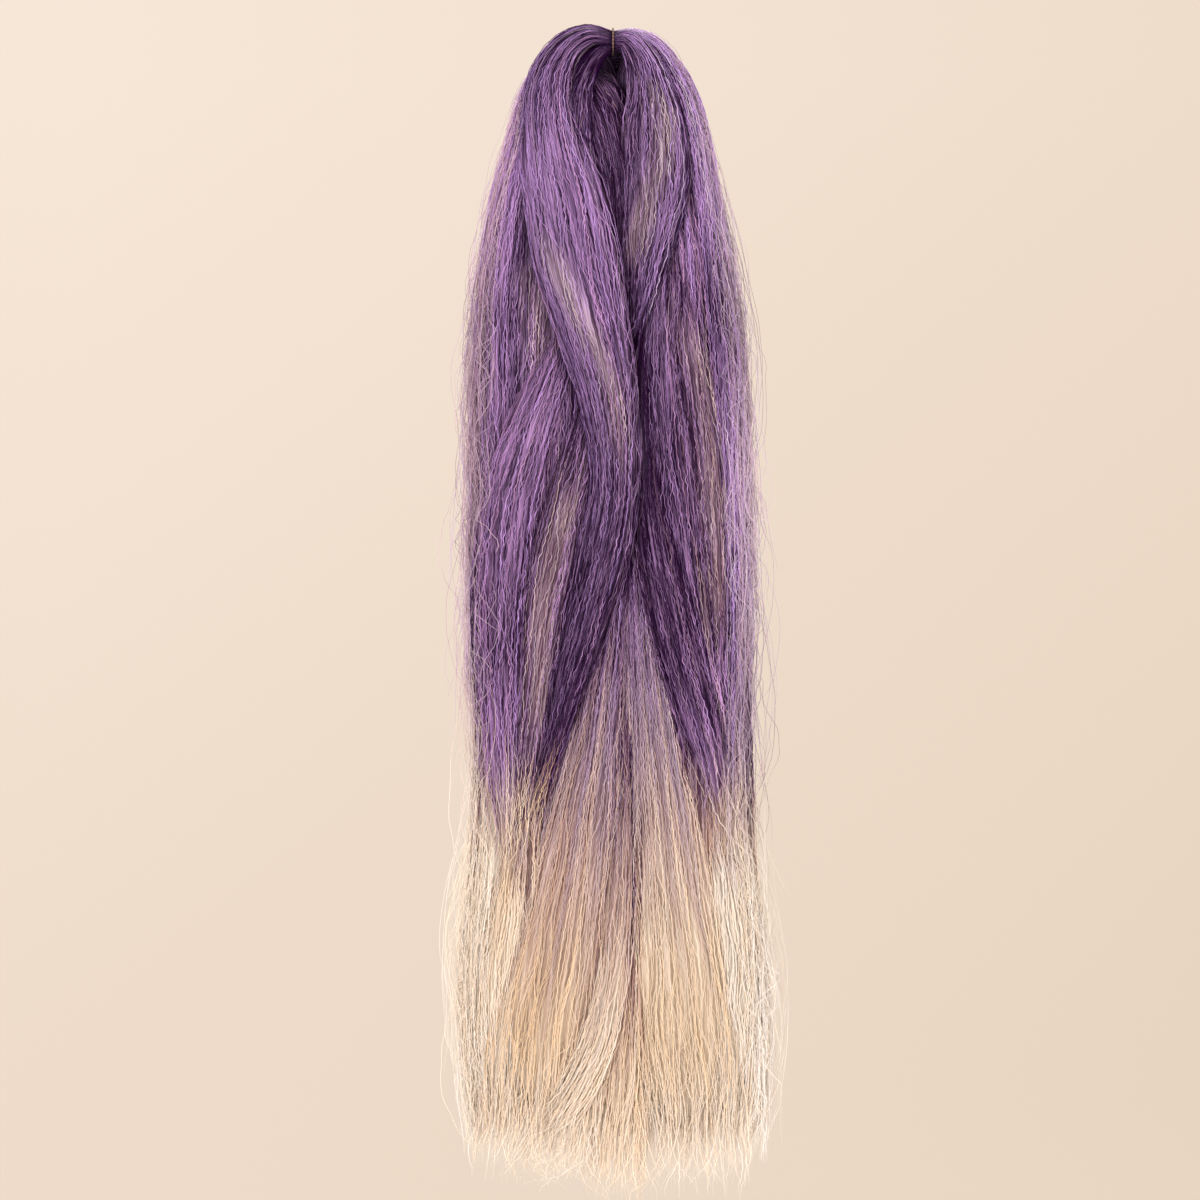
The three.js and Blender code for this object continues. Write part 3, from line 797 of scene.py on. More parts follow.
@dataclass
class LockStrands:
    """The crimped strands that lie on one lock.

    The arc of the lock that faces out is shared among wisps. A strand keeps its place in its wisp, which
    sways, narrows and swells along the lock and is domed, so that gaps open between wisps. Its stations are
    half a crimp apart, at places that the wisp's strands share, and stand to either side in turn. Some
    strands keep to no wisp and lie on top. At a frayed tip they spread and end at random lengths.
    """

    lock: Lock
    others: list[Lock]
    wisp_width: float = 3.6 * MM
    wisp_overlap: float = 0.4  # how far into the next wisp a strand may fall, as a share of its width
    free_share: float = 0.26  # the share of the strands that keep to no wisp
    free_more_at_side: float = 1.7
    stand_off: float = 0.3 * MM  # how far the free ones stand off the wisps, on average
    stand_off_at_side: float = 2.4 * MM
    stand_off_most: float = 6 * MM
    shortest_run: float = 14 * MM
    short_of_tip: float = 13 * MM  # how far from a frayed tip the strands end, on average
    short_of_tail: float = 36 * MM
    fray_start: float = 0.84  # where the strands start to spread, as a share of the lock
    fray_aside: float = 5 * MM
    fray_outward: float = 4 * MM
    dive_run: float = 7 * MM  # over how long a stretch a strand comes up from under the others
    dive_depth: float = 1.8 * MM
    slack: float = 4.2 * MM  # how far a free strand drifts to either side
    bend_count: int = 64

    def __post_init__(self) -> None:
        """Draws each strand's and each wisp's own numbers."""
        lock = self.lock
        rng = lock.rng
        self.arc = lock.arcs[-1]
        count = int(self.arc / lock.spacing)
        wisps = max(2, round(self.arc / self.wisp_width))
        share = (rng.permutation(count) + rng.random(count)) / count
        strand, self.start, end = self.seen_runs(lock.turn_at(share))
        self.share, count = share[strand], len(strand)
        overlap = rng.uniform(-self.wisp_overlap, self.wisp_overlap, count)
        self.wisps = wisps
        self.wisp = np.clip(self.share * wisps + overlap, 0, wisps - 1).astype(int)
        self.offset = self.share * wisps - self.wisp - 0.5
        self.free = rng.random(count) < self.free_share * (self.free_more_at_side if lock.at_side else 1)
        self.lay, self.shade, self.hue, self.early, self.pale = rng.random((5, count))
        self.thickness = rng.uniform(0.72, 1.25, count) * np.where(self.free, 0.66, 1)
        self.sway_knots, self.swell_knots, self.rise_knots = rng.uniform(-1, 1, (3, wisps, 10))
        self.wisp_shade, self.wisp_hue = rng.uniform(-1, 1, (2, wisps))
        self.step = CRIMP_STEP * rng.uniform(0.88, 1.12, wisps)[self.wisp] * rng.uniform(0.9, 1.1, count)
        self.shift = rng.random(wisps)[self.wisp] + rng.uniform(-0.5, 0.5, count)
        knots = max(9, round(lock.length / (26 * MM)))
        self.drift_knots, self.lift_knots = rng.uniform(-1, 1, (2, count, knots))
        off = rng.exponential(self.stand_off_at_side if lock.at_side else self.stand_off, count)
        self.off = np.minimum(off, self.stand_off_most)
        self.fray_knots, self.splay_knots = rng.uniform(-1, 1, (2, count, 4))
        short_by = self.short_of_tip if lock.frayed else self.short_of_tail
        short = rng.exponential(short_by / lock.length, count)
        self.bends = rng.random((count, self.bend_count))
        farthest = 1.015 if lock.frayed else 1.03
        self.end = np.where(end > 0.98, farthest - np.minimum(short, 0.2), end)
        self.reach = (self.end - self.start) * lock.length
        self.stations = (self.reach / self.step).astype(int) + 1

    def seen_runs(self, turn: Array) -> tuple[Array, Array, Array]:
        """Finds the runs of each strand that no other lock hides.

        Args:
            turn: the strands' angles round the lock.
        Returns:
            For each run, the number of its strand, and where it starts and ends along the lock.
        """
        lock = self.lock
        along = np.linspace(0, 1, 120)
        points = lock.places(along[None, :], turn[:, None], 0.0, fringed=True)
        seen = np.ones(points.shape[:2], bool)
        for other in self.others:
            if other is not lock:
                seen &= ~other.hides(points, lock.facing)
        seen[:, 1:-1] |= seen[:, :-2] | seen[:, 2:]
        edges = np.diff(np.pad(seen, ((0, 0), (1, 1))).astype(int), axis=1)
        strand, first = np.nonzero(edges == 1)
        last = np.nonzero(edges == -1)[1] - 1
        long = (last - first) * lock.length / len(along) > self.shortest_run
        return strand[long], along[first[long]], along[last[long]]

    def sets(self) -> list[dict[str, Array]]:
        """Works out the strands, in sets with the same number of stations.

        Returns:
            For each set, the paths, radii, outward directions and values.
        """
        enough = self.stations > 4
        size = 6 * np.ceil(self.stations / 6).astype(int)
        return [self.one_set(np.flatnonzero((size == number) & enough), int(number))
                for number in np.unique(size[enough])]

    def one_set(self, pick: Array, number: int) -> dict[str, Array]:
        """Works out some of the strands.

        Args:
            pick: the numbers of the strands.
            number: how many stations each has.
        Returns:
            Their paths, radii, outward directions and values.
        """
        lock = self.lock
        step, reach = self.step[pick], self.reach[pick]
        index = np.arange(number)[None, :]
        first = np.ceil(self.start[pick] * lock.length / step + self.shift[pick]) - self.shift[pick]
        spacing = np.minimum(step, (reach + 2 * step) / number)
        along = (first * step / lock.length)[:, None] + index * (spacing / lock.length)[:, None]
        part = np.broadcast_to(index / (number - 1), along.shape)
        odd = (index + first[:, None].astype(int)) % 2 == 1
        dice = self.bends[pick][:, np.arange(number) % self.bend_count]
        dome = np.clip(1 - 3.2 * self.offset[pick][:, None] ** 2, -0.3, 1)
        near_start = np.clip(part * reach[:, None] / self.dive_run, 0, 1)
        near_end = np.clip((1 - part) * reach[:, None] / self.dive_run, 0, 1)
        ends_free = (self.end[pick] > self.fray_start)[:, None]
        surfaced = np.where(ends_free, near_start, np.minimum(near_start, near_end))
        angle = self.angles(pick, along, part)
        height = self.heights(pick, along, part, dome) - self.dive_depth * (1 - surfaced)
        base = lock.places(along, angle, height, fringed=True)
        normal = lock.normal(along, angle)
        paths = self.crimped(pick, along, part, base, normal, dice, odd)
        taper = np.clip(np.minimum(part, 1 - part) * reach[:, None] / (14 * MM), 0.3, 1)
        radii = STRAND_RADIUS * self.thickness[pick][:, None] * taper
        values = self.values(pick, along, angle, base, paths, dice, dome, surfaced)
        return {"paths": paths, "radii": radii, "facing": normal, **values}

    def fray(self, along: Array) -> Array:
        """Works out how far the strands spread at places along the lock, from 0 to a little over 1."""
        return np.clip((along - self.fray_start) / (1 - self.fray_start), 0, 1.1) ** 1.5

    def angles(self, pick: Array, along: Array, part: Array) -> Array:
        """Works out where round the lock the strands lie.

        A wisp's middle sways and its width swells as smooth random lines, and a strand drifts a little in it.
        A free strand drifts further.

        Args:
            pick: the numbers of the strands.
            along: their stations' places along the lock.
            part: the same, as shares of each strand.
        Returns:
            Angles in radians.
        """
        wisp, offset = self.wisp[pick], self.offset[pick][:, None]
        sway = 0.45 * wander(self.sway_knots, wisp, along)
        swell = 0.92 + 0.3 * wander(self.swell_knots, wisp, along)
        drift = wander(self.drift_knots, pick, along)
        in_wisp = (wisp[:, None] + 0.5 + sway + offset * swell + 0.42 * drift) / self.wisps
        loose = self.share[pick][:, None] + drift * self.slack / self.arc
        angle = self.lock.turn_at(np.clip(np.where(self.free[pick][:, None], loose, in_wisp), 0, 1))
        size_here = np.maximum(self.lock.at(along, self.lock.track)[..., 3:5].mean(axis=-1), 4 * MM)
        return angle + self.fray(along) * self.fray_aside * wander(self.fray_knots, pick, part) / size_here

    def heights(self, pick: Array, along: Array, part: Array, dome: Array) -> Array:
        """Works out how far the strands stand off the lock's surface.

        Args:
            pick: the numbers of the strands.
            along: their stations' places along the lock.
            part: the same, as shares of each strand.
            dome: how near each strand is to its wisp's crest.
        Returns:
            Heights in metres.
        """
        rise = 0.45 * MM * wander(self.rise_knots, self.wisp[pick], along)
        lift = wander(self.lift_knots, pick, along)
        below_crest = np.clip((-self.lock.at(along, self.lock.track)[..., 2] / DROP - 0.06) / 0.2, 0, 1)
        off = 0.6 * MM + self.off[pick][:, None] * (0.5 + 0.5 * lift) * below_crest
        height = np.where(self.free[pick][:, None], off, 0.45 * MM * dome + rise)
        height = height + 0.5 * MM * self.lay[pick][:, None] - 0.3 * MM + 0.35 * MM * lift
        return height + self.fray(along) * self.fray_outward * wander(self.splay_knots, pick, part)

    def crimped(self, pick: Array, along: Array, part: Array, base: Array, normal: Array, dice: Array,
                odd: Array) -> Array:
        """Bends the strands to either side in turn, by random reaches, with a slow wander on top.

        The crimp is weaker over the blonde tips, and where the lock is pulled tight at the tie.

        Args:
            pick: the numbers of the strands.
            along: their stations' places along the lock.
            part: the same, as shares of each strand.
            base: the stations before the crimp.
            normal: the outward direction at each.
            dice: a random share for each.
            odd: which of them bend to the right.
        Returns:
            The bent paths.
        """
        run = np.gradient(base, axis=1)
        sideways = np.cross(run / np.maximum(np.linalg.norm(run, axis=2, keepdims=True), 1e-9), normal)
        slow = wander(2 * self.bends[pick][:, :24] - 1, np.arange(len(pick)), part)
        aside = CRIMP_REACH * (np.where(odd, 1.0, -1.0) * (0.1 + 0.95 * dice) + 0.9 * slow)
        outward = 0.7 * CRIMP_REACH * (2 * np.roll(dice, 7, axis=1) - 1)
        crimp = 1 - 0.35 * np.clip((-base[..., 2] / DROP - 0.6) / 0.2, 0, 1)
        if self.lock.root:
            crimp = crimp * np.clip((along * self.lock.length - 12 * MM) / (30 * MM), 0.15, 1)
        return base + sideways * (aside * crimp)[..., None] + normal * (outward * crimp)[..., None]

    def values(self, pick: Array, along: Array, angle: Array, base: Array, paths: Array, dice: Array,
               dome: Array, surfaced: Array) -> dict[str, Array]:
        """Works out the strands' fade, streaks, tone and warmth.

        Strands differ in lightness, and painted glints light them where the crimp turns. Painted shade
        darkens them beside a taller lock, where they also fade less, in the gaps between wisps, at the sides
        of a lock that faces no side of the hank, and where they dip under the others. Painted light lifts the
        wisps' crests, the free strands on top and the hank's sides, where little fibre lies behind them and
        the strands are paler. In a tail they fade sooner.

        Args:
            pick: the numbers of the strands.
            along: their stations' places along the lock.
            angle: the stations' angles round it.
            base: the stations before the crimp.
            paths: the stations after it.
            dice: a random share for each.
            dome: how near each strand is to its wisp's crest.
            surfaced: 0 where a strand lies under the others, and 1 where it lies on top.
        Returns:
            For each attribute's name, a value per station.
        """
        lock, wisp, free = self.lock, self.wisp[pick], self.free[pick][:, None]
        early, pale = self.early[pick][:, None], self.pale[pick][:, None]
        shaded = lock.shade_from(self.others, base)
        edge = np.abs(np.cos(angle)) ** 4
        tail = np.zeros(along.shape) if lock.frayed else np.clip((along - 0.72) / 0.28, 0, 1)
        own = (0.62 * self.shade[pick] ** 2.0 - 0.29 + 0.1 * self.wisp_shade[wisp])[:, None]
        # Painted glints: lighter stretches along the strand, brightest where the crimp bends furthest.
        glint = (dice + np.roll(dice, 1, axis=1)) ** 2 / 4
        # Painted light and shade: lighter wisp crests and free strands, darker gaps and dips under the
        # others, shade from taller locks, lighter hank sides and darker sides of the other locks.
        tone = own + 0.85 * glint - 0.2 + np.where(free, 0.16, 0.2 * dome - 0.1) - 0.3 * (1 - surfaced)
        tone = tone - 0.26 * shaded + (0.62 if lock.at_side else -0.12) * edge * (1 - tail)
        # Painted shade also holds back the fade beside a taller lock, so the hair stays darker and more
        # purple there.
        jitter = (0.5 if lock.at_side else 0.26) * (early - 0.5) + 0.12 * self.wisp_hue[wisp][:, None]
        jitter = jitter - 0.3 * shaded + 0.8 * tail * early + (0.3 * edge if lock.at_side else 0)
        warm = (0.7 * (self.hue[pick] - 0.5) + 0.2 * self.wisp_hue[wisp])[:, None]
        values = lock.values(along, paths, tone, jitter, warm)
        dyed = 1 - values["fade"]
        pale_here = values["streak"] + (0.7 * edge * dyed if lock.at_side else 0)
        picked = np.clip((pale_here - pale) * 6, 0, 0.85)
        stray = np.where(pale > 0.95, 0.5 * dyed, 0)
        values["streak"] = np.maximum(picked, stray)
        return values


@dataclass
class HankHalf:
    """One half of the hank: its locks, the crimped strands that lie on them, and loose hairs."""

    half: Half
    locks: list[Lock]
    surface_finish: FibreFinish
    strand_finish: FibreFinish
    surface_step: float = 10 * MM
    surface_sides: int = 36
    surface_sink: float = 1.2 * MM  # how far under the lock's own form its strands cover the surface
    loose_radius: float = 0.12 * MM
    tip_count: int = 150
    tip_stations: int = 13
    most_triangles: int = 196_000

    @property
    def word(self) -> str:
        """The half's name in its pieces' names."""
        return self.half.name.lower()

    def add_surface(self, surface: Surface, number: int, lock: Lock, others: list[Lock]) -> None:
        """Adds one lock's own surface.

        It is a grid of its places, closed round the lock, with a point in the middle of each end. Towards the
        tip it draws in as an ellipse does and stops short, where its strands go on.

        Args:
            surface: what to add it to.
            number: the lock's number in the half.
            lock: the lock.
            others: every lock of the hank, which may shade some of it.
        """
        middle, _ = lock.facing.value
        rings = max(8, round(lock.length / self.surface_step))
        sides = self.surface_sides
        first, last = (0.64, 0.91) if lock.frayed else (0.7, 0.97)
        along = np.linspace(0, last, rings)[:, None]
        turn = math.radians(middle + 180) + np.arange(sides)[None, :] * 2 * np.pi / sides
        grid = lock.places(along, turn, -self.surface_sink)
        centre = grid.mean(axis=1, keepdims=True)
        drawn_in = np.sqrt(1 - np.clip((along - first) / (last - first), 0, 0.99) ** 2)[..., None]
        grid = centre + (grid - centre) * drawn_in
        points = np.vstack([grid.reshape(-1, 3), grid[[0, -1]].mean(axis=1)])
        count = rings * sides
        side = np.arange(sides)
        beside = (side + 1) % sides
        caps = np.vstack([
            np.stack([np.full(sides, count), side, beside], -1),
            np.stack([np.full(sides, count + 1), count - sides + beside, count - sides + side], -1),
        ])
        places = np.append(np.broadcast_to(along, (rings, sides)).ravel(), [0, 1])
        edge = np.zeros(len(points))
        if lock.at_side:
            edge[:count] = np.broadcast_to(np.abs(np.cos(turn)) ** 4, (rings, sides)).ravel()
        shade = lock.shade_from(others, points)
        # Painted shade and light: the surface is darker under its strands and in the shade of taller locks,
        # where it also fades less, and lighter at the hank's sides, where it is also paler.
        values = lock.values(places, points, 0.45 * edge - 0.3 - 0.3 * shade, 0.35 * edge - 0.3 * shade, 0.0)
        values["streak"] = np.maximum(values["streak"], 0.6 * edge * (1 - values["fade"]))
        unit = ring_map(rings, sides)[:, ::-1]
        around_mm = np.pi * (lock.track[:, 3].max() + lock.track[:, 4].max()) / MM
        bake = (unit * (0.96, 1) + (0.02 + number, 0)) / (len(self.locks), 1)
        cap_bake = np.full((len(caps), 3, 2), ((number + 0.5) / len(self.locks), 0))
        surface.add(points, ring_faces(rings, sides)[:, ::-1], caps, values,
                    {"OFBake": (bake, cap_bake),
                     "fibre_mm": (unit * (around_mm, lock.length / MM), np.zeros((len(caps), 3, 2)))})

    def build_surfaces(self, others: list[Lock]) -> bpy.types.Object:
        """Builds the locks' own surfaces as one piece.

        Args:
            others: every lock of the hank, which may shade some of it.
        Returns:
            The piece that stands for the half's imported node.
        """
        surface = Surface()
        for number, lock in enumerate(self.locks):
            self.add_surface(surface, number, lock, others)
        return surface.make(f"{self.word}_half_locks", self.surface_finish.material(),
                            f"{self.word}_half")

    def loose_hairs(self, lock: Lock, kind: LooseKind) -> dict[str, Array]:
        """Works out thin hairs that leave the outline of a lock and come back, or end free.

        A hair's height is a half wave or a rising curve along it, up to its reach. It slides round the lock
        and is only lightly crimped.

        Args:
            lock: the outer lock that they leave.
            kind: how many there are, how long they are and how far they reach.
        Returns:
            Paths, radii, outward directions and values.
        """
        rng = lock.rng
        count, stations, shortest, longest, reach_mean, reach_most = kind.value
        part = np.linspace(0, 1, stations)[None, :]
        length = rng.uniform(shortest, longest, (count, 1)) * MM
        start = rng.uniform(0.01, 1, (count, 1)) * (1.02 - length / lock.length)
        along = start + part * length / lock.length
        middle, _ = lock.facing.value
        rows = np.arange(count)
        angle = np.radians(middle + rng.uniform(-75, 75, (count, 1))
                           + 25 * wander(rng.uniform(-1, 1, (count, 5)), rows, part))
        track = lock.at(along, lock.track)
        edge = np.abs(track[..., 0]) + track[..., 3]
        room = LOOSE_LIMIT - edge.max(axis=1, keepdims=True)
        reach = np.minimum(rng.exponential(reach_mean, (count, 1)).clip(0.8, reach_most) * MM, room)
        reach = reach * (0.3 + 0.7 * np.clip((-track[:, :1, 2] / DROP - 0.02) / 0.3, 0, 1))
        rising = rng.random((count, 1)) < 0.35
        height = reach * np.where(rising, part ** 1.7, np.sin(np.pi * part) ** 0.8)
        height = height + 0.6 * MM * wander(rng.uniform(-1, 1, (count, 9)), rows, part)
        base = lock.places(along, angle, height, fringed=True)
        normal = lock.normal(along, angle)
        run = np.gradient(base, axis=1)
        sideways = np.cross(run / np.linalg.norm(run, axis=2, keepdims=True), normal)
        base = base + sideways * (0.4 * MM * rng.uniform(-1, 1, (count, stations)))[..., None]
        taper = np.clip(np.minimum(part, 1 - part) * 8, 0.4, 1)
        radii = self.loose_radius * rng.uniform(0.8, 1.25, (count, 1)) * taper
        values = lock.values(along, base, rng.uniform(0, 0.5, (count, 1)) + 0 * part,
                             0.4 * (rng.random((count, 1)) - 0.5), rng.uniform(-0.4, 0.4, (count, 1)))
        values["streak"] = np.maximum(values["streak"], 0.6 * (1 - values["fade"]))
        return {"paths": base, "radii": radii, "facing": normal, **values}

    def tip_strands(self, lock: Lock) -> dict[str, Array]:
        """Works out strands that fill a frayed tip, inside the lock's own strands.

        A strand keeps its place between the section's centre and its edge, wanders a little off it, and ends
        short of the tip by a random length.

        Args:
            lock: the lock.
        Returns:
            Paths, radii, outward directions and values.
        """
        rng = lock.rng
        count, stations = self.tip_count, self.tip_stations
        part = np.linspace(0, 1, stations)[None, :]
        start = 1 - rng.uniform(60, 115, (count, 1)) * MM / lock.length
        end = 1.01 - np.minimum(rng.exponential(11, (count, 1)), 45) * MM / lock.length
        along = start + part * (end - start)
        rows = np.arange(count)
        turn, aside = rng.uniform(0, 2 * np.pi, (count, 1)), rng.uniform(-1, 1, (count, 5))
        angle = turn + 0.25 * wander(aside, rows, part)
        surface = lock.places(along, angle, 0.0, fringed=True)
        centre = (surface + lock.places(along, angle + np.pi, 0.0, fringed=True)) / 2
        depth, deeper = rng.uniform(0, 1, (count, 1)), rng.uniform(-1, 1, (count, 6))
        depth = np.sqrt(depth) + 0.12 * wander(deeper, rows, part)
        normal = lock.normal(along, angle)
        path = centre + (surface - centre) * depth[..., None]
        path = path + 0.35 * MM * rng.uniform(-1, 1, (count, stations, 3))
        radii = STRAND_RADIUS * rng.uniform(0.6, 1, (count, 1)) * np.clip((1 - part) * 5, 0.3, 1)
        values = lock.values(along, path, rng.uniform(0, 0.8, (count, 1)) + 0 * part,
                             0.4 * (rng.random((count, 1)) - 0.5), rng.uniform(-0.4, 0.4, (count, 1)))
        return {"paths": path, "radii": radii, "facing": normal, **values}

    def batches(self, sets: list[dict[str, Array]]) -> list[list[dict[str, Array]]]:
        """Shares sets of strands among pieces, so that each keeps under its limit of triangles.

        Args:
            sets: the sets, in order.
        Returns:
            For each piece, its sets.
        """
        batches: list[list[dict[str, Array]]] = [[]]
        size = 0
        for made in sets:
            strands, stations, _ = made["paths"].shape
            triangles = strands * ((stations - 1) * 2 * STRAND_SIDES + 2)
            if batches[-1] and size + triangles > self.most_triangles:
                batches.append([])
                size = 0
            batches[-1].append(made)
            size += triangles
        return batches

    def build_strands(self, others: list[Lock]) -> list[bpy.types.Object]:
        """Builds the strands and the loose hairs, in as many pieces as keep each under its limit.

        Args:
            others: every lock of the hank.
        Returns:
            The pieces.
        """
        material = self.strand_finish.material()
        groups: dict[str, list[dict[str, Array]]] = {
            "front_strands": [], "back_strands": [], "tip_strands": [], "loose_hairs": []}
        for lock in self.locks:
            if lock.facing is Facing.NONE:
                continue
            face = "back_strands" if lock.facing is Facing.BACK else "front_strands"
            groups[face].extend(LockStrands(lock, others).sets())
            if lock.frayed:
                groups["tip_strands"].append(self.tip_strands(lock))
            if lock.name == "outer":
                groups["loose_hairs"].extend(self.loose_hairs(lock, kind) for kind in LooseKind)
        pieces = []
        for name, sets in groups.items():
            for number, batch in enumerate(self.batches(sets)):
                surface = Surface()
                total = sum(len(made["paths"]) for made in batch)
                first = 0
                for made in batch:
                    values = {key: made[key] for key in ("fade", "streak", "tone", "warm")}
                    add_tubes(surface, made["paths"], made["radii"], made["facing"], values, first, total)
                    first += len(made["paths"])
                pieces.append(surface.make(f"{self.word}_{name}_{number + 1}", material))
        return pieces
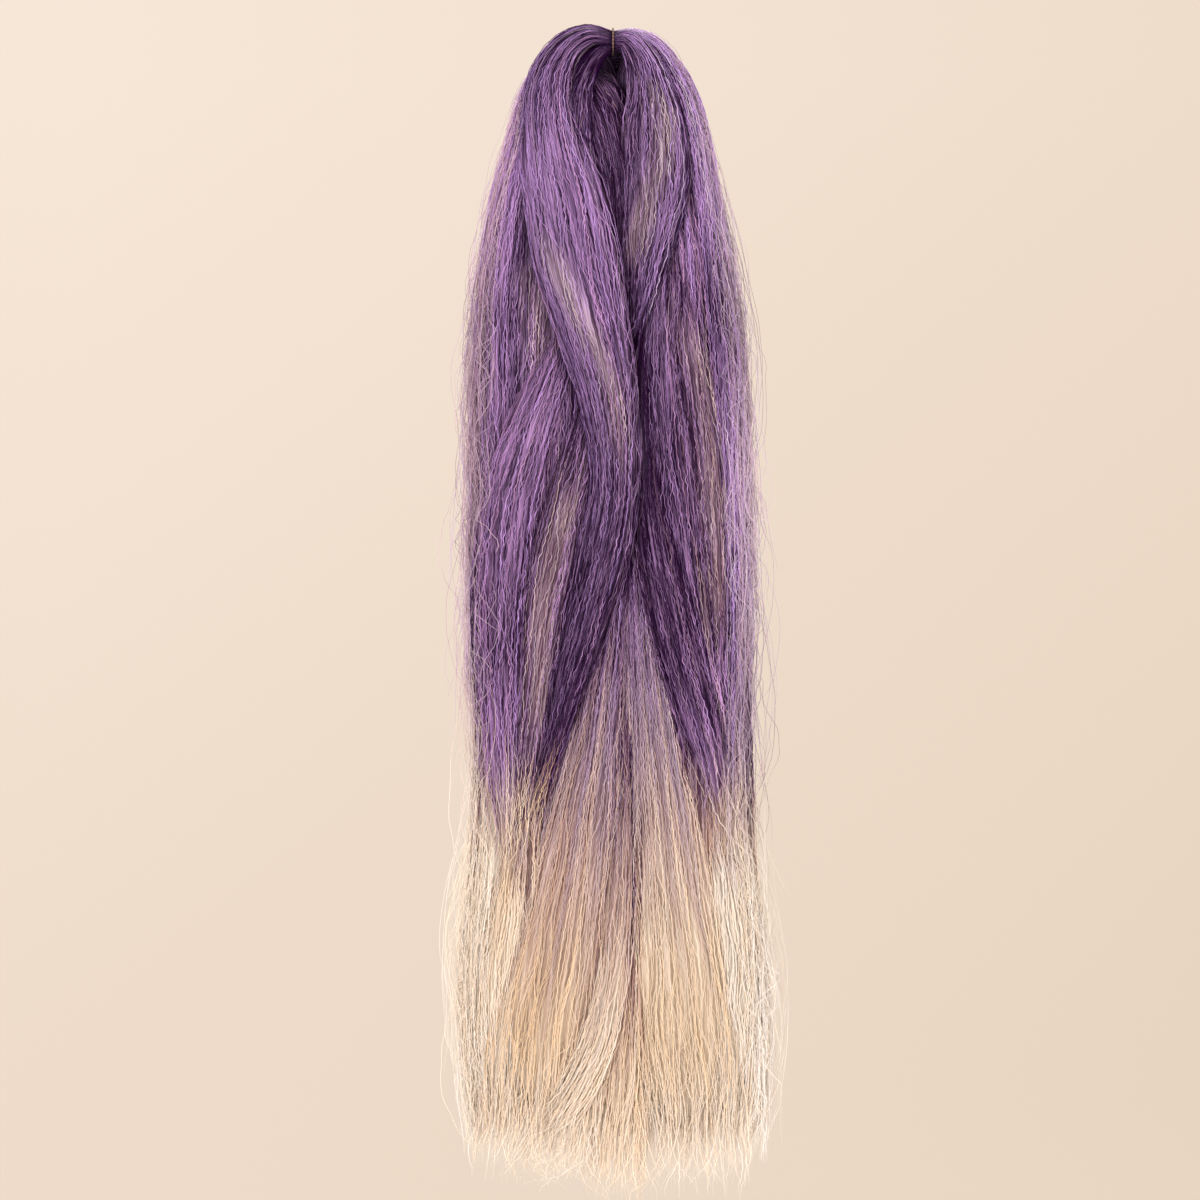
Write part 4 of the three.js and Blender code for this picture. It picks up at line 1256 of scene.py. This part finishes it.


# The tables' tones, in both halves, hold painted shade and light: most locks are painted darker where they go
# into the tie, the recess under the tie is painted dark, and the left outer lock is painted lighter on its
# shoulder.
LEFT_LOCKS = [
    Lock("core", Half.LEFT, [
        (0.01, -0.17, 0, 0.085, 0.4), (0.022, -0.33, 0, 0.11, 0.46), (0.05, -0.43, -0.04, 0.17, 0.5),
        (0.075, -0.39, -0.06, 0.27, 0.54), (0.105, -0.36, -0.04, 0.34, 0.58), (0.15, -0.36, 0, 0.43, 0.62),
        (0.25, -0.41, 0, 0.52, 0.66), (0.4, -0.45, 0, 0.53, 0.68), (0.55, -0.46, 0, 0.5, 0.68),
        (0.7, -0.48, 0, 0.5, 0.68), (0.82, -0.5, 0, 0.54, 0.64), (0.91, -0.5, 0, 0.48, 0.5),
        (0.95, -0.5, 0, 0.36, 0.24),
    ], Facing.FRONT, root=(0, 0, 0.9), fade=(0.58, 0.74), tone=(0.0, 0.32, 0.46, 0.24, 0.4, 0.9),
        streaks=[Streak([(0.2, -0.62), (0.26, -0.52), (0.32, -0.45)], 0.1, 0.5)]),
    Lock("outer", Half.LEFT, [
        (0.007, -0.15, 0, 0.065, 0.42), (0.017, -0.32, 0, 0.085, 0.46), (0.037, -0.445, 0, 0.1, 0.5),
        (0.066, -0.55, 0, 0.112, 0.53), (0.107, -0.63, 0, 0.125, 0.56), (0.158, -0.72, 0, 0.14, 0.58),
        (0.235, -0.785, 0, 0.17, 0.6), (0.32, -0.815, 0, 0.185, 0.62), (0.425, -0.82, 0, 0.185, 0.62),
        (0.53, -0.81, 0, 0.18, 0.62), (0.615, -0.785, 0, 0.175, 0.6), (0.7, -0.8, 0, 0.18, 0.58),
        (0.79, -0.86, 0, 0.2, 0.56), (0.865, -0.885, 0, 0.185, 0.5), (0.915, -0.865, 0, 0.13, 0.36),
        (0.952, -0.84, 0, 0.05, 0.14),
    ], Facing.LEFT, root=(0.45, 0, 0.5), fade=(0.5, 0.69), fringe=0.75,
        tone=(0.34, 1.0, 0.46, 0.5, 0.76, 1.0, 1.1, 1.5),
        streaks=[Streak([(0.18, -0.95), (0.3, -1.0), (0.6, -0.98), (0.75, -1.0)], 0.1, 0.6)]),
    Lock("front", Half.LEFT, [
        (0.008, -0.16, 0.22, 0.07, 0.24), (0.02, -0.32, 0.34, 0.105, 0.28), (0.043, -0.42, 0.42, 0.15, 0.32),
        (0.073, -0.45, 0.48, 0.19, 0.34), (0.114, -0.405, 0.54, 0.25, 0.38), (0.162, -0.32, 0.6, 0.29, 0.4),
        (0.213, -0.24, 0.66, 0.29, 0.4), (0.265, -0.14, 0.7, 0.25, 0.38), (0.313, -0.05, 0.74, 0.21, 0.36),
        (0.36, 0.005, 0.76, 0.175, 0.34), (0.408, 0.005, 0.74, 0.16, 0.34), (0.455, -0.065, 0.7, 0.17, 0.34),
        (0.503, -0.16, 0.66, 0.16, 0.34), (0.55, -0.265, 0.62, 0.14, 0.32), (0.598, -0.37, 0.58, 0.115, 0.28),
        (0.645, -0.475, 0.54, 0.085, 0.24), (0.693, -0.58, 0.5, 0.035, 0.12),
    ], Facing.FRONT, root=(0.1, 0.45, 0.5), fade=(0.64, 0.76), warm=0.35,
        tone=(0.1, 0.62, 0.5, 0.22, -0.04, -0.1),
        streaks=[Streak([(0.173, -0.517), (0.228, -0.329), (0.283, -0.105), (0.322, 0.021), (0.392, 0.07)],
                        0.08, 0.75)]),
    # Painted shade: this lock's tone starts below 0, so it is dark where it leaves the recess under the tie.
    Lock("inner_arch", Half.LEFT, [
        (0.024, -0.09, 0.24, 0.05, 0.22), (0.036, -0.17, 0.3, 0.075, 0.26), (0.056, -0.235, 0.36, 0.1, 0.28),
        (0.085, -0.26, 0.4, 0.12, 0.3), (0.12, -0.235, 0.42, 0.13, 0.3), (0.16, -0.17, 0.44, 0.13, 0.3),
        (0.2, -0.09, 0.44, 0.12, 0.28), (0.245, -0.02, 0.44, 0.09, 0.24), (0.285, 0.03, 0.42, 0.03, 0.12),
    ], Facing.FRONT, root=(-0.45, 0.3, 0.42), tone=(-0.5, 0.28, 0.0, -0.02, 0.1), warm=0.3),
    Lock("middle", Half.LEFT, [
        (0.25, -0.3, 0.4, 0.08, 0.2), (0.3, -0.42, 0.46, 0.16, 0.3), (0.345, -0.55, 0.48, 0.2, 0.34),
        (0.395, -0.665, 0.46, 0.225, 0.36), (0.46, -0.735, 0.44, 0.235, 0.36),
        (0.535, -0.765, 0.42, 0.21, 0.36),
        (0.61, -0.755, 0.42, 0.18, 0.34), (0.685, -0.735, 0.42, 0.14, 0.3), (0.736, -0.735, 0.42, 0.05, 0.16),
    ], Facing.FRONT, fade=(0.6, 0.75), tone=(0.46, 0.56, 0.48, 0.38, 0.68, 0.5)),
    Lock("inner", Half.LEFT, [
        (0.32, -0.16, 0.44, 0.06, 0.2), (0.365, -0.23, 0.5, 0.14, 0.3), (0.417, -0.33, 0.54, 0.175, 0.34),
        (0.473, -0.42, 0.56, 0.18, 0.34), (0.53, -0.5, 0.54, 0.16, 0.32), (0.59, -0.56, 0.52, 0.135, 0.3),
        (0.65, -0.62, 0.5, 0.105, 0.26), (0.71, -0.68, 0.48, 0.05, 0.16),
    ], Facing.FRONT, fade=(0.6, 0.76), tone=(0.2, 0.26, 0.34, 0.28, 0.36),
        streaks=[Streak([(0.36, -0.196), (0.42, -0.329), (0.499, -0.483), (0.576, -0.517), (0.65, -0.6)],
                        0.1, 0.85)]),
    Lock("fan", Half.LEFT, [
        (0.4, 0.07, 0.22, 0.05, 0.18), (0.47, 0.04, 0.36, 0.12, 0.3), (0.55, -0.02, 0.42, 0.2, 0.34),
        (0.63, -0.1, 0.45, 0.29, 0.36), (0.71, -0.19, 0.47, 0.38, 0.38), (0.79, -0.28, 0.48, 0.45, 0.38),
        (0.86, -0.36, 0.46, 0.5, 0.36), (0.915, -0.42, 0.42, 0.5, 0.3), (0.955, -0.46, 0.36, 0.42, 0.2),
        (0.985, -0.5, 0.28, 0.25, 0.07),
    ], Facing.FRONT, fade=(0.42, 0.88), tone=(-0.2, 0.34, 0.5, 0.36, 0.0, 0.85), warm=0.45,
        fringe=0.95),
    Lock("sweep", Half.LEFT, [
        (0.56, 0.08, 0.52, 0.03, 0.1), (0.64, 0.07, 0.62, 0.07, 0.2), (0.72, 0.05, 0.66, 0.09, 0.24),
        (0.78, 0.02, 0.68, 0.11, 0.26), (0.83, -0.03, 0.68, 0.125, 0.26), (0.875, -0.12, 0.66, 0.14, 0.24),
        (0.915, -0.27, 0.62, 0.14, 0.2), (0.95, -0.46, 0.54, 0.08, 0.08),
    ], Facing.FRONT, fade=(0.47, 0.88), tone=(-0.05, 0.4, 0.55, 0.7), warm=0.5, fringe=0.9),
    Lock("centre", Half.LEFT, [
        (0.5, 0.1, 0.3, 0.03, 0.1), (0.58, 0.11, 0.42, 0.06, 0.2), (0.66, 0.12, 0.48, 0.09, 0.26),
        (0.74, 0.13, 0.5, 0.12, 0.28), (0.82, 0.12, 0.5, 0.16, 0.3), (0.88, 0.1, 0.46, 0.2, 0.28),
        (0.93, 0.06, 0.4, 0.22, 0.24), (0.97, 0.02, 0.34, 0.2, 0.16), (1, 0, 0.28, 0.12, 0.06),
    ], Facing.FRONT, fade=(0.56, 0.9), tone=(-0.15, -0.25, 0.1, 0.25, 0.6), warm=0.55, fringe=0.9),
    Lock("tips_outer", Half.LEFT, [
        (0.667, -0.62, 0.34, 0.08, 0.2), (0.736, -0.68, 0.36, 0.16, 0.3), (0.805, -0.74, 0.36, 0.19, 0.33),
        (0.865, -0.78, 0.34, 0.18, 0.3), (0.92, -0.78, 0.3, 0.13, 0.24), (0.965, -0.76, 0.26, 0.04, 0.08),
    ], Facing.FRONT, fade=(0.58, 0.74), tone=(0.1, 0.5, 0.8, 1.1), fringe=0.85),
    Lock("under_eye", Half.LEFT, [
        (0.034, -0.22, -0.16, 0.07, 0.2), (0.052, -0.16, -0.08, 0.16, 0.34), (0.075, -0.08, 0.06, 0.19, 0.44),
        (0.1, -0.02, 0.18, 0.19, 0.46), (0.13, 0.03, 0.26, 0.17, 0.44), (0.165, 0.06, 0.3, 0.15, 0.4),
        (0.205, 0.08, 0.32, 0.13, 0.36), (0.245, 0.09, 0.34, 0.1, 0.3), (0.285, 0.09, 0.34, 0.04, 0.14),
    ], Facing.FRONT, tone=(0.25, 0.14, -0.3, -0.1)),
    # Painted shade: this lock fills the recess under the tie, and its tone of 0 paints it dark.
    Lock("behind_eye", Half.LEFT, [
        (0.0, -0.26, -0.48, 0.1, 0.2), (0.001, -0.12, -0.56, 0.12, 0.14), (0.001, 0.0, -0.57, 0.12, 0.13),
        (0.001, 0.1, -0.56, 0.115, 0.14), (0.003, 0.19, -0.48, 0.09, 0.18),
    ], Facing.NONE, under_tie=True, tone=(0.0,)),
    Lock("back", Half.LEFT, [
        (0.008, -0.19, -0.28, 0.085, 0.28), (0.03, -0.2, -0.42, 0.22, 0.3), (0.055, -0.22, -0.48, 0.32, 0.34),
        (0.09, -0.3, -0.5, 0.37, 0.4), (0.14, -0.37, -0.52, 0.42, 0.42), (0.22, -0.44, -0.52, 0.42, 0.44),
        (0.34, -0.52, -0.52, 0.38, 0.44), (0.46, -0.48, -0.5, 0.4, 0.44), (0.58, -0.4, -0.5, 0.42, 0.44),
        (0.7, -0.42, -0.5, 0.46, 0.4), (0.82, -0.5, -0.46, 0.5, 0.36), (0.91, -0.52, -0.38, 0.48, 0.28),
        (0.965, -0.52, -0.28, 0.4, 0.14),
    ], Facing.BACK, root=(0.1, -0.45, 0.5), fade=(0.55, 0.69), tone=(0.3, 0.45, 0.6), spacing=BACK_SPACING,
        fringe=0.9),
    Lock("back_wave", Half.LEFT, [
        (0.2, -0.16, -0.46, 0.07, 0.2), (0.28, -0.24, -0.6, 0.19, 0.3), (0.38, -0.36, -0.66, 0.25, 0.34),
        (0.48, -0.5, -0.66, 0.25, 0.34), (0.58, -0.62, -0.6, 0.21, 0.32), (0.68, -0.69, -0.54, 0.14, 0.28),
        (0.76, -0.72, -0.48, 0.04, 0.14),
    ], Facing.BACK, fade=(0.56, 0.72), tone=(0.45,), spacing=BACK_SPACING),
    Lock("back_tips", Half.LEFT, [
        (0.64, -0.2, -0.42, 0.08, 0.2), (0.72, -0.24, -0.56, 0.21, 0.32), (0.81, -0.29, -0.56, 0.32, 0.34),
        (0.89, -0.34, -0.46, 0.36, 0.28), (0.95, -0.39, -0.36, 0.32, 0.18), (0.993, -0.43, -0.28, 0.16, 0.08),
    ], Facing.BACK, fade=(0.5, 0.67), tone=(0.48,), spacing=BACK_SPACING, fringe=0.9),
]

RIGHT_LOCKS = [
    Lock("core", Half.RIGHT, [
        (0.014, 0.13, 0, 0.08, 0.4), (0.027, 0.26, 0, 0.1, 0.46), (0.05, 0.31, -0.04, 0.19, 0.5),
        (0.1, 0.35, -0.02, 0.27, 0.58), (0.15, 0.39, 0, 0.34, 0.62), (0.25, 0.45, 0, 0.41, 0.66),
        (0.4, 0.5, 0, 0.44, 0.68), (0.55, 0.51, 0, 0.44, 0.68), (0.7, 0.52, 0, 0.45, 0.68),
        (0.82, 0.54, 0, 0.49, 0.64), (0.91, 0.55, 0, 0.45, 0.5), (0.955, 0.54, 0, 0.34, 0.24),
    ], Facing.FRONT, root=(0, 0, 0.9), fade=(0.58, 0.72),
        tone=(0.0, 0.5, 0.5, 0.0, 0.4, 0.8)),
    Lock("outer", Half.RIGHT, [
        (0.0095, 0.135, 0, 0.066, 0.42), (0.0205, 0.285, 0, 0.088, 0.46), (0.044, 0.41, 0, 0.1, 0.5),
        (0.07, 0.5, 0, 0.108, 0.53), (0.105, 0.56, 0, 0.12, 0.56), (0.157, 0.62, 0, 0.14, 0.58),
        (0.235, 0.695, 0, 0.17, 0.6), (0.32, 0.745, 0, 0.185, 0.62), (0.425, 0.775, 0, 0.18, 0.62),
        (0.53, 0.79, 0, 0.17, 0.62), (0.615, 0.77, 0, 0.16, 0.6), (0.7, 0.78, 0, 0.17, 0.58),
        (0.79, 0.85, 0, 0.195, 0.56), (0.87, 0.895, 0, 0.19, 0.5), (0.92, 0.895, 0, 0.13, 0.36),
        (0.96, 0.88, 0, 0.05, 0.14),
    ], Facing.RIGHT, root=(0.45, 0, 0.5), fade=(0.56, 0.72), warm=0.3, fringe=0.75,
        tone=(0.44, 0.7, 0.26, 0.8, 0.4, 0.46, 0.8, 1.3),
        streaks=[Streak([(0.1, 0.72), (0.2, 0.85), (0.3, 0.93), (0.5, 0.96), (0.7, 0.95)], 0.09, 0.55)]),
    Lock("inner", Half.RIGHT, [
        (0.012, 0.1, 0.22, 0.07, 0.24), (0.029, 0.2, 0.34, 0.11, 0.3), (0.058, 0.27, 0.44, 0.17, 0.34),
        (0.092, 0.295, 0.5, 0.225, 0.38), (0.131, 0.3, 0.54, 0.24, 0.4), (0.17, 0.27, 0.56, 0.2, 0.4),
        (0.21, 0.23, 0.56, 0.145, 0.36), (0.244, 0.18, 0.52, 0.085, 0.3), (0.278, 0.13, 0.44, 0.03, 0.16),
    ], Facing.FRONT, root=(0, 0.45, 0.5), tone=(0.26, 0.38, 0.38, 0.06), warm=0.3,
        streaks=[Streak([(0.043, 0.217), (0.083, 0.371), (0.114, 0.343), (0.153, 0.245), (0.193, 0.154),
                         (0.22, 0.119)], 0.075, 0.9)]),
    Lock("front", Half.RIGHT, [
        (0.179, 0.44, 0.3, 0.06, 0.2), (0.226, 0.42, 0.42, 0.17, 0.32), (0.278, 0.425, 0.48, 0.225, 0.36),
        (0.339, 0.47, 0.5, 0.26, 0.38), (0.4, 0.525, 0.5, 0.265, 0.38), (0.46, 0.585, 0.48, 0.23, 0.36),
        (0.516, 0.65, 0.46, 0.17, 0.32), (0.564, 0.705, 0.44, 0.09, 0.26), (0.602, 0.76, 0.42, 0.03, 0.14),
    ], Facing.FRONT, tone=(0.05, 0.44, 0.3, 0.38, 0.2, 1.5),
        streaks=[Streak([(0.236, 0.371), (0.259, 0.503), (0.299, 0.629), (0.33, 0.692), (0.38, 0.706),
                         (0.439, 0.755), (0.499, 0.706), (0.557, 0.706)], 0.11, 0.8)]),
    Lock("dark", Half.RIGHT, [
        (0.255, 0.22, 0.34, 0.04, 0.16), (0.3, 0.22, 0.44, 0.1, 0.26), (0.35, 0.235, 0.48, 0.13, 0.3),
        (0.395, 0.265, 0.52, 0.15, 0.32), (0.44, 0.315, 0.55, 0.175, 0.34), (0.49, 0.39, 0.56, 0.195, 0.36),
        (0.546, 0.495, 0.56, 0.19, 0.34), (0.598, 0.6, 0.54, 0.155, 0.32), (0.645, 0.69, 0.5, 0.105, 0.26),
        (0.689, 0.76, 0.46, 0.04, 0.14),
    ], Facing.FRONT, fade=(0.62, 0.74), tone=(-0.25, -0.36, 0.08, 0.32, 0.75)),
    Lock("fan", Half.RIGHT, [
        (0.4, 0.15, 0.2, 0.04, 0.16), (0.47, 0.17, 0.34, 0.1, 0.28), (0.55, 0.22, 0.4, 0.17, 0.32),
        (0.63, 0.28, 0.43, 0.26, 0.36), (0.71, 0.34, 0.45, 0.35, 0.38), (0.79, 0.4, 0.46, 0.42, 0.38),
        (0.86, 0.45, 0.44, 0.47, 0.36), (0.92, 0.49, 0.4, 0.46, 0.3), (0.96, 0.5, 0.34, 0.38, 0.2),
        (0.992, 0.5, 0.27, 0.22, 0.07),
    ], Facing.FRONT, fade=(0.43, 0.8), tone=(0.15, 0.46, 0.55, 0.36, 0.0, 0.75), warm=0.35,
        fringe=0.95,
        streaks=[Streak([(0.47, 0.24), (0.557, 0.31), (0.636, 0.4), (0.72, 0.5)], 0.07, 0.7)]),
    Lock("tips_outer", Half.RIGHT, [
        (0.667, 0.68, 0.34, 0.08, 0.2), (0.736, 0.73, 0.36, 0.17, 0.3), (0.805, 0.78, 0.36, 0.19, 0.33),
        (0.87, 0.8, 0.34, 0.18, 0.3), (0.925, 0.8, 0.3, 0.13, 0.24), (0.97, 0.78, 0.26, 0.04, 0.08),
    ], Facing.FRONT, fade=(0.58, 0.73), tone=(0.7, 0.55, 0.6, 0.75), warm=0.2, fringe=0.85),
    Lock("back", Half.RIGHT, [
        (0.012, 0.17, -0.28, 0.08, 0.28), (0.032, 0.2, -0.42, 0.2, 0.3), (0.06, 0.24, -0.46, 0.26, 0.34),
        (0.09, 0.28, -0.5, 0.29, 0.38), (0.14, 0.35, -0.52, 0.34, 0.42), (0.22, 0.42, -0.52, 0.38, 0.44),
        (0.34, 0.48, -0.52, 0.41, 0.44), (0.46, 0.52, -0.5, 0.38, 0.44), (0.58, 0.54, -0.5, 0.36, 0.44),
        (0.7, 0.53, -0.5, 0.38, 0.4), (0.82, 0.54, -0.46, 0.45, 0.36), (0.91, 0.55, -0.38, 0.44, 0.28),
        (0.965, 0.54, -0.28, 0.38, 0.14),
    ], Facing.BACK, root=(0.1, -0.45, 0.5), fade=(0.55, 0.69), tone=(0.3, 0.45, 0.6), spacing=BACK_SPACING,
        fringe=0.9),
    Lock("back_wave", Half.RIGHT, [
        (0.13, 0.62, -0.34, 0.06, 0.2), (0.2, 0.6, -0.5, 0.16, 0.3), (0.29, 0.52, -0.62, 0.22, 0.34),
        (0.38, 0.42, -0.68, 0.23, 0.34), (0.47, 0.34, -0.66, 0.22, 0.34), (0.56, 0.3, -0.6, 0.18, 0.3),
        (0.65, 0.32, -0.52, 0.1, 0.24), (0.71, 0.36, -0.46, 0.03, 0.12),
    ], Facing.BACK, fade=(0.56, 0.72), tone=(0.45,), spacing=BACK_SPACING),
    Lock("back_tips", Half.RIGHT, [
        (0.6, 0.62, -0.42, 0.08, 0.2), (0.69, 0.6, -0.56, 0.2, 0.32), (0.79, 0.54, -0.58, 0.3, 0.34),
        (0.88, 0.48, -0.48, 0.34, 0.28), (0.945, 0.44, -0.37, 0.3, 0.18), (0.99, 0.42, -0.28, 0.15, 0.08),
    ], Facing.BACK, fade=(0.5, 0.67), tone=(0.48,), spacing=BACK_SPACING, fringe=0.9),
]


@dataclass
class Tie:
    """The elastic that runs once round the neck of the bundle."""

    finish: ElasticFinish
    steps: int = 96
    sides: int = 16

    def build(self) -> bpy.types.Object:
        """Builds the elastic as a round cord on an oval.

        A point is the oval's point, plus the cord's radius times a cosine along the oval's normal and a sine
        along X.

        Returns:
            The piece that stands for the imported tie.
        """
        radius = TIE_DIAMETER / 2
        height = NECK_HALF_HEIGHT + TIE_CLEARANCE + radius
        depth = NECK_HALF_DEPTH + TIE_CLEARANCE + radius
        turn = np.arange(self.steps)[:, None] * 2 * np.pi / self.steps
        around = np.arange(self.sides)[None, :] * 2 * np.pi / self.sides
        normal = np.stack([0 * turn, height * np.sin(turn), depth * np.cos(turn)], -1)
        normal /= np.linalg.norm(normal, axis=-1, keepdims=True)
        middle = BUNDLE_CENTRE + np.stack([0 * turn, depth * np.sin(turn), height * np.cos(turn)], -1)
        points = (middle + radius * np.cos(around)[..., None] * normal
                  + radius * np.sin(around)[..., None] * np.array([1.0, 0, 0]))
        here = np.arange(self.steps)[:, None] * self.sides
        after = (here + self.sides) % (self.steps * self.sides)
        side = np.arange(self.sides)[None, :]
        beside = (side + 1) % self.sides
        quads = np.stack([here + side, here + beside, after + beside, after + side], -1).reshape(-1, 4)
        unit = ring_map(self.steps + 1, self.sides)
        cord = unit * (2 * np.pi * radius / MM, np.pi * (height + depth) / MM)
        surface = Surface()
        surface.add(points, quads, np.zeros((0, 3), int), {},
                    {"OFBake": (unit, np.zeros((0, 3, 2))), "cord_mm": (cord, np.zeros((0, 3, 2)))})
        return surface.make("tie_elastic", self.finish.material(), "tie")


@dataclass
class Studio:
    """A pale floor that curves up into a round wall, soft light, and a camera that faces the hank."""

    # The backdrop's colours hold painted light: lighter on the key light's side, darker on the far side and,
    # by the foot's tint, towards the floor.
    lit_side: str = "f7e7d7"
    far_side: str = "eedcca"
    foot: str = "f7f4f1"
    floor_z: float = -0.95
    wall_radius: float = 4.0
    curve_radius: float = 1.4
    wall_height: float = 3.2
    cove_sides: int = 64
    room: str = "fff6ec"
    room_light: float = 0.76
    lens: float = 100.0
    sensor: float = 36.0

    def paper(self) -> bpy.types.Material:
        """Builds the backdrop's paper, with painted light: lighter on the key light's side and darker towards
        the floor.

        Returns:
            Matt paper that glows with this painted light.
        """
        material, tree, output = new_material("matt_paper_backdrop")
        parts = add_node(tree, "SeparateXYZ", links={0: add_node(tree, "TexCoord").outputs["Object"]})
        # Painted light across the backdrop, and painted shade towards the floor.
        side = add_node(tree, "MapRange", {"in From Min": -0.9, "in From Max": 1.2},
                        {"Value": parts.outputs["X"]})
        low = add_node(tree, "MapRange", {"in From Min": 0.6, "in From Max": self.floor_z},
                       {"Value": parts.outputs["Z"]})
        across = add_node(tree, "Mix", {"data_type": "RGBA", "in 6": linear(self.lit_side),
                                        "in 7": linear(self.far_side)}, {"Factor": side.outputs["Result"]})
        down = add_node(tree, "Mix", {"data_type": "RGBA", "in 6": linear("ffffff"),
                                      "in 7": linear(self.foot)}, {"Factor": low.outputs["Result"]})
        lit = add_node(tree, "VectorMath", {"operation": "MULTIPLY"},
                       {0: across.outputs[2], 1: down.outputs[2]})
        glow = add_node(tree, "Emission", links={"Color": lit.outputs[0]})
        tree.links.new(glow.outputs[0], output.inputs["Surface"])
        return material

    def build_cove(self) -> bpy.types.Object:
        """Builds the floor and the wall as one surface of revolution, open at the top.

        Its profile runs out along the floor, up a quarter circle and up the wall, and is carried round the
        hank. Only the camera sees it, so that it doesn't tint the hair.

        Returns:
            The cove, which is stage.
        """
        quarter = np.linspace(0, np.pi / 2, 13)[1:]
        inner = self.wall_radius - self.curve_radius
        radius = np.concatenate([[0.01, inner], inner + self.curve_radius * np.sin(quarter),
                                 [self.wall_radius]])
        height = self.floor_z + np.concatenate([[0, 0], self.curve_radius * (1 - np.cos(quarter)),
                                                [self.wall_height]])
        turn = np.arange(self.cove_sides) * 2 * np.pi / self.cove_sides
        points = np.stack([radius[:, None] * np.cos(turn), radius[:, None] * np.sin(turn),
                           np.broadcast_to(height[:, None], (len(radius), self.cove_sides))], -1)
        middle = list(range(self.cove_sides))[::-1]
        faces = ring_faces(len(radius), self.cove_sides).tolist() + [middle]
        mesh = bpy.data.meshes.new("studio_cove")
        mesh.from_pydata(points.reshape(-1, 3).tolist(), [], faces)
        mesh.shade_smooth()
        mesh.materials.append(self.paper())
        cove = bpy.data.objects.new("studio_cove", mesh)
        for ray in ("diffuse", "glossy", "transmission", "shadow", "volume_scatter"):
            setattr(cove, "visible_" + ray, False)
        bpy.context.scene.collection.objects.link(cove)
        return cove

    def build_light(self) -> None:
        """Builds large soft lights, one of them for what the floor throws back, and the room's even light."""
        for name, place, size, power in (
            ("key", (-1.5, -2.5, 0.35), 1.2, 76.0),
            ("fill", (1.8, -2.1, -0.75), 1.5, 46.0),
            ("top", (0.2, 0.6, 1.1), 1.0, 20.0),
            ("bounce", (0.0, -1.2, -1.5), 1.4, 14.0),
        ):
            lamp = bpy.data.lights.new(name, "AREA")
            lamp.size = size
            lamp.energy = power
            light = bpy.data.objects.new(name, lamp)
            light.location = place
            aim = Vector((0, 0, -DROP / 2)) - Vector(place)
            light.rotation_euler = aim.to_track_quat("-Z", "Y").to_euler()
            bpy.context.scene.collection.objects.link(light)
        world = bpy.data.worlds.new("studio")
        world.use_nodes = True
        tree = world.node_tree
        tree.nodes.clear()
        soft = add_node(tree, "Background", {"in Color": linear(self.room), "in Strength": self.room_light})
        output = add_node(tree, "OutputWorld")
        tree.links.new(soft.outputs[0], output.inputs["Surface"])
        bpy.context.scene.world = world

    def build_camera(self) -> None:
        """Builds the camera, level and square to the hank, so that its frame is the photograph's."""
        side = PHOTO_SIDE * PIXEL
        centre_x = (PHOTO_SIDE / 2 - PHOTO_TIE[0]) * PIXEL
        centre_z = (PHOTO_TIE[1] - PHOTO_SIDE / 2) * PIXEL
        data = bpy.data.cameras.new("camera")
        data.lens = self.lens
        data.sensor_width = self.sensor
        camera = bpy.data.objects.new("camera", data)
        camera.location = (centre_x, -side * self.lens / self.sensor, centre_z)
        camera.rotation_euler = (math.pi / 2, 0, 0)
        bpy.context.scene.collection.objects.link(camera)
        bpy.context.scene.camera = camera
        bpy.context.scene.view_settings.view_transform = "Standard"


def main() -> None:
    """Builds the studio, the two halves and the tie."""
    logging.basicConfig(level=logging.INFO, format="%(name)s: %(message)s")
    studio = Studio()
    studio.build_camera()
    studio.build_cove()
    studio.build_light()
    surface_finish = FibreFinish(FibreForm.SURFACE)
    strand_finish = FibreFinish(FibreForm.STRAND)
    every_lock = LEFT_LOCKS + RIGHT_LOCKS
    for half, locks in ((Half.LEFT, LEFT_LOCKS), (Half.RIGHT, RIGHT_LOCKS)):
        part = HankHalf(half, locks, surface_finish, strand_finish)
        part.build_surfaces(every_lock)
        part.build_strands(every_lock)
    Tie(ElasticFinish()).build()


if __name__ == "__main__":
    main()
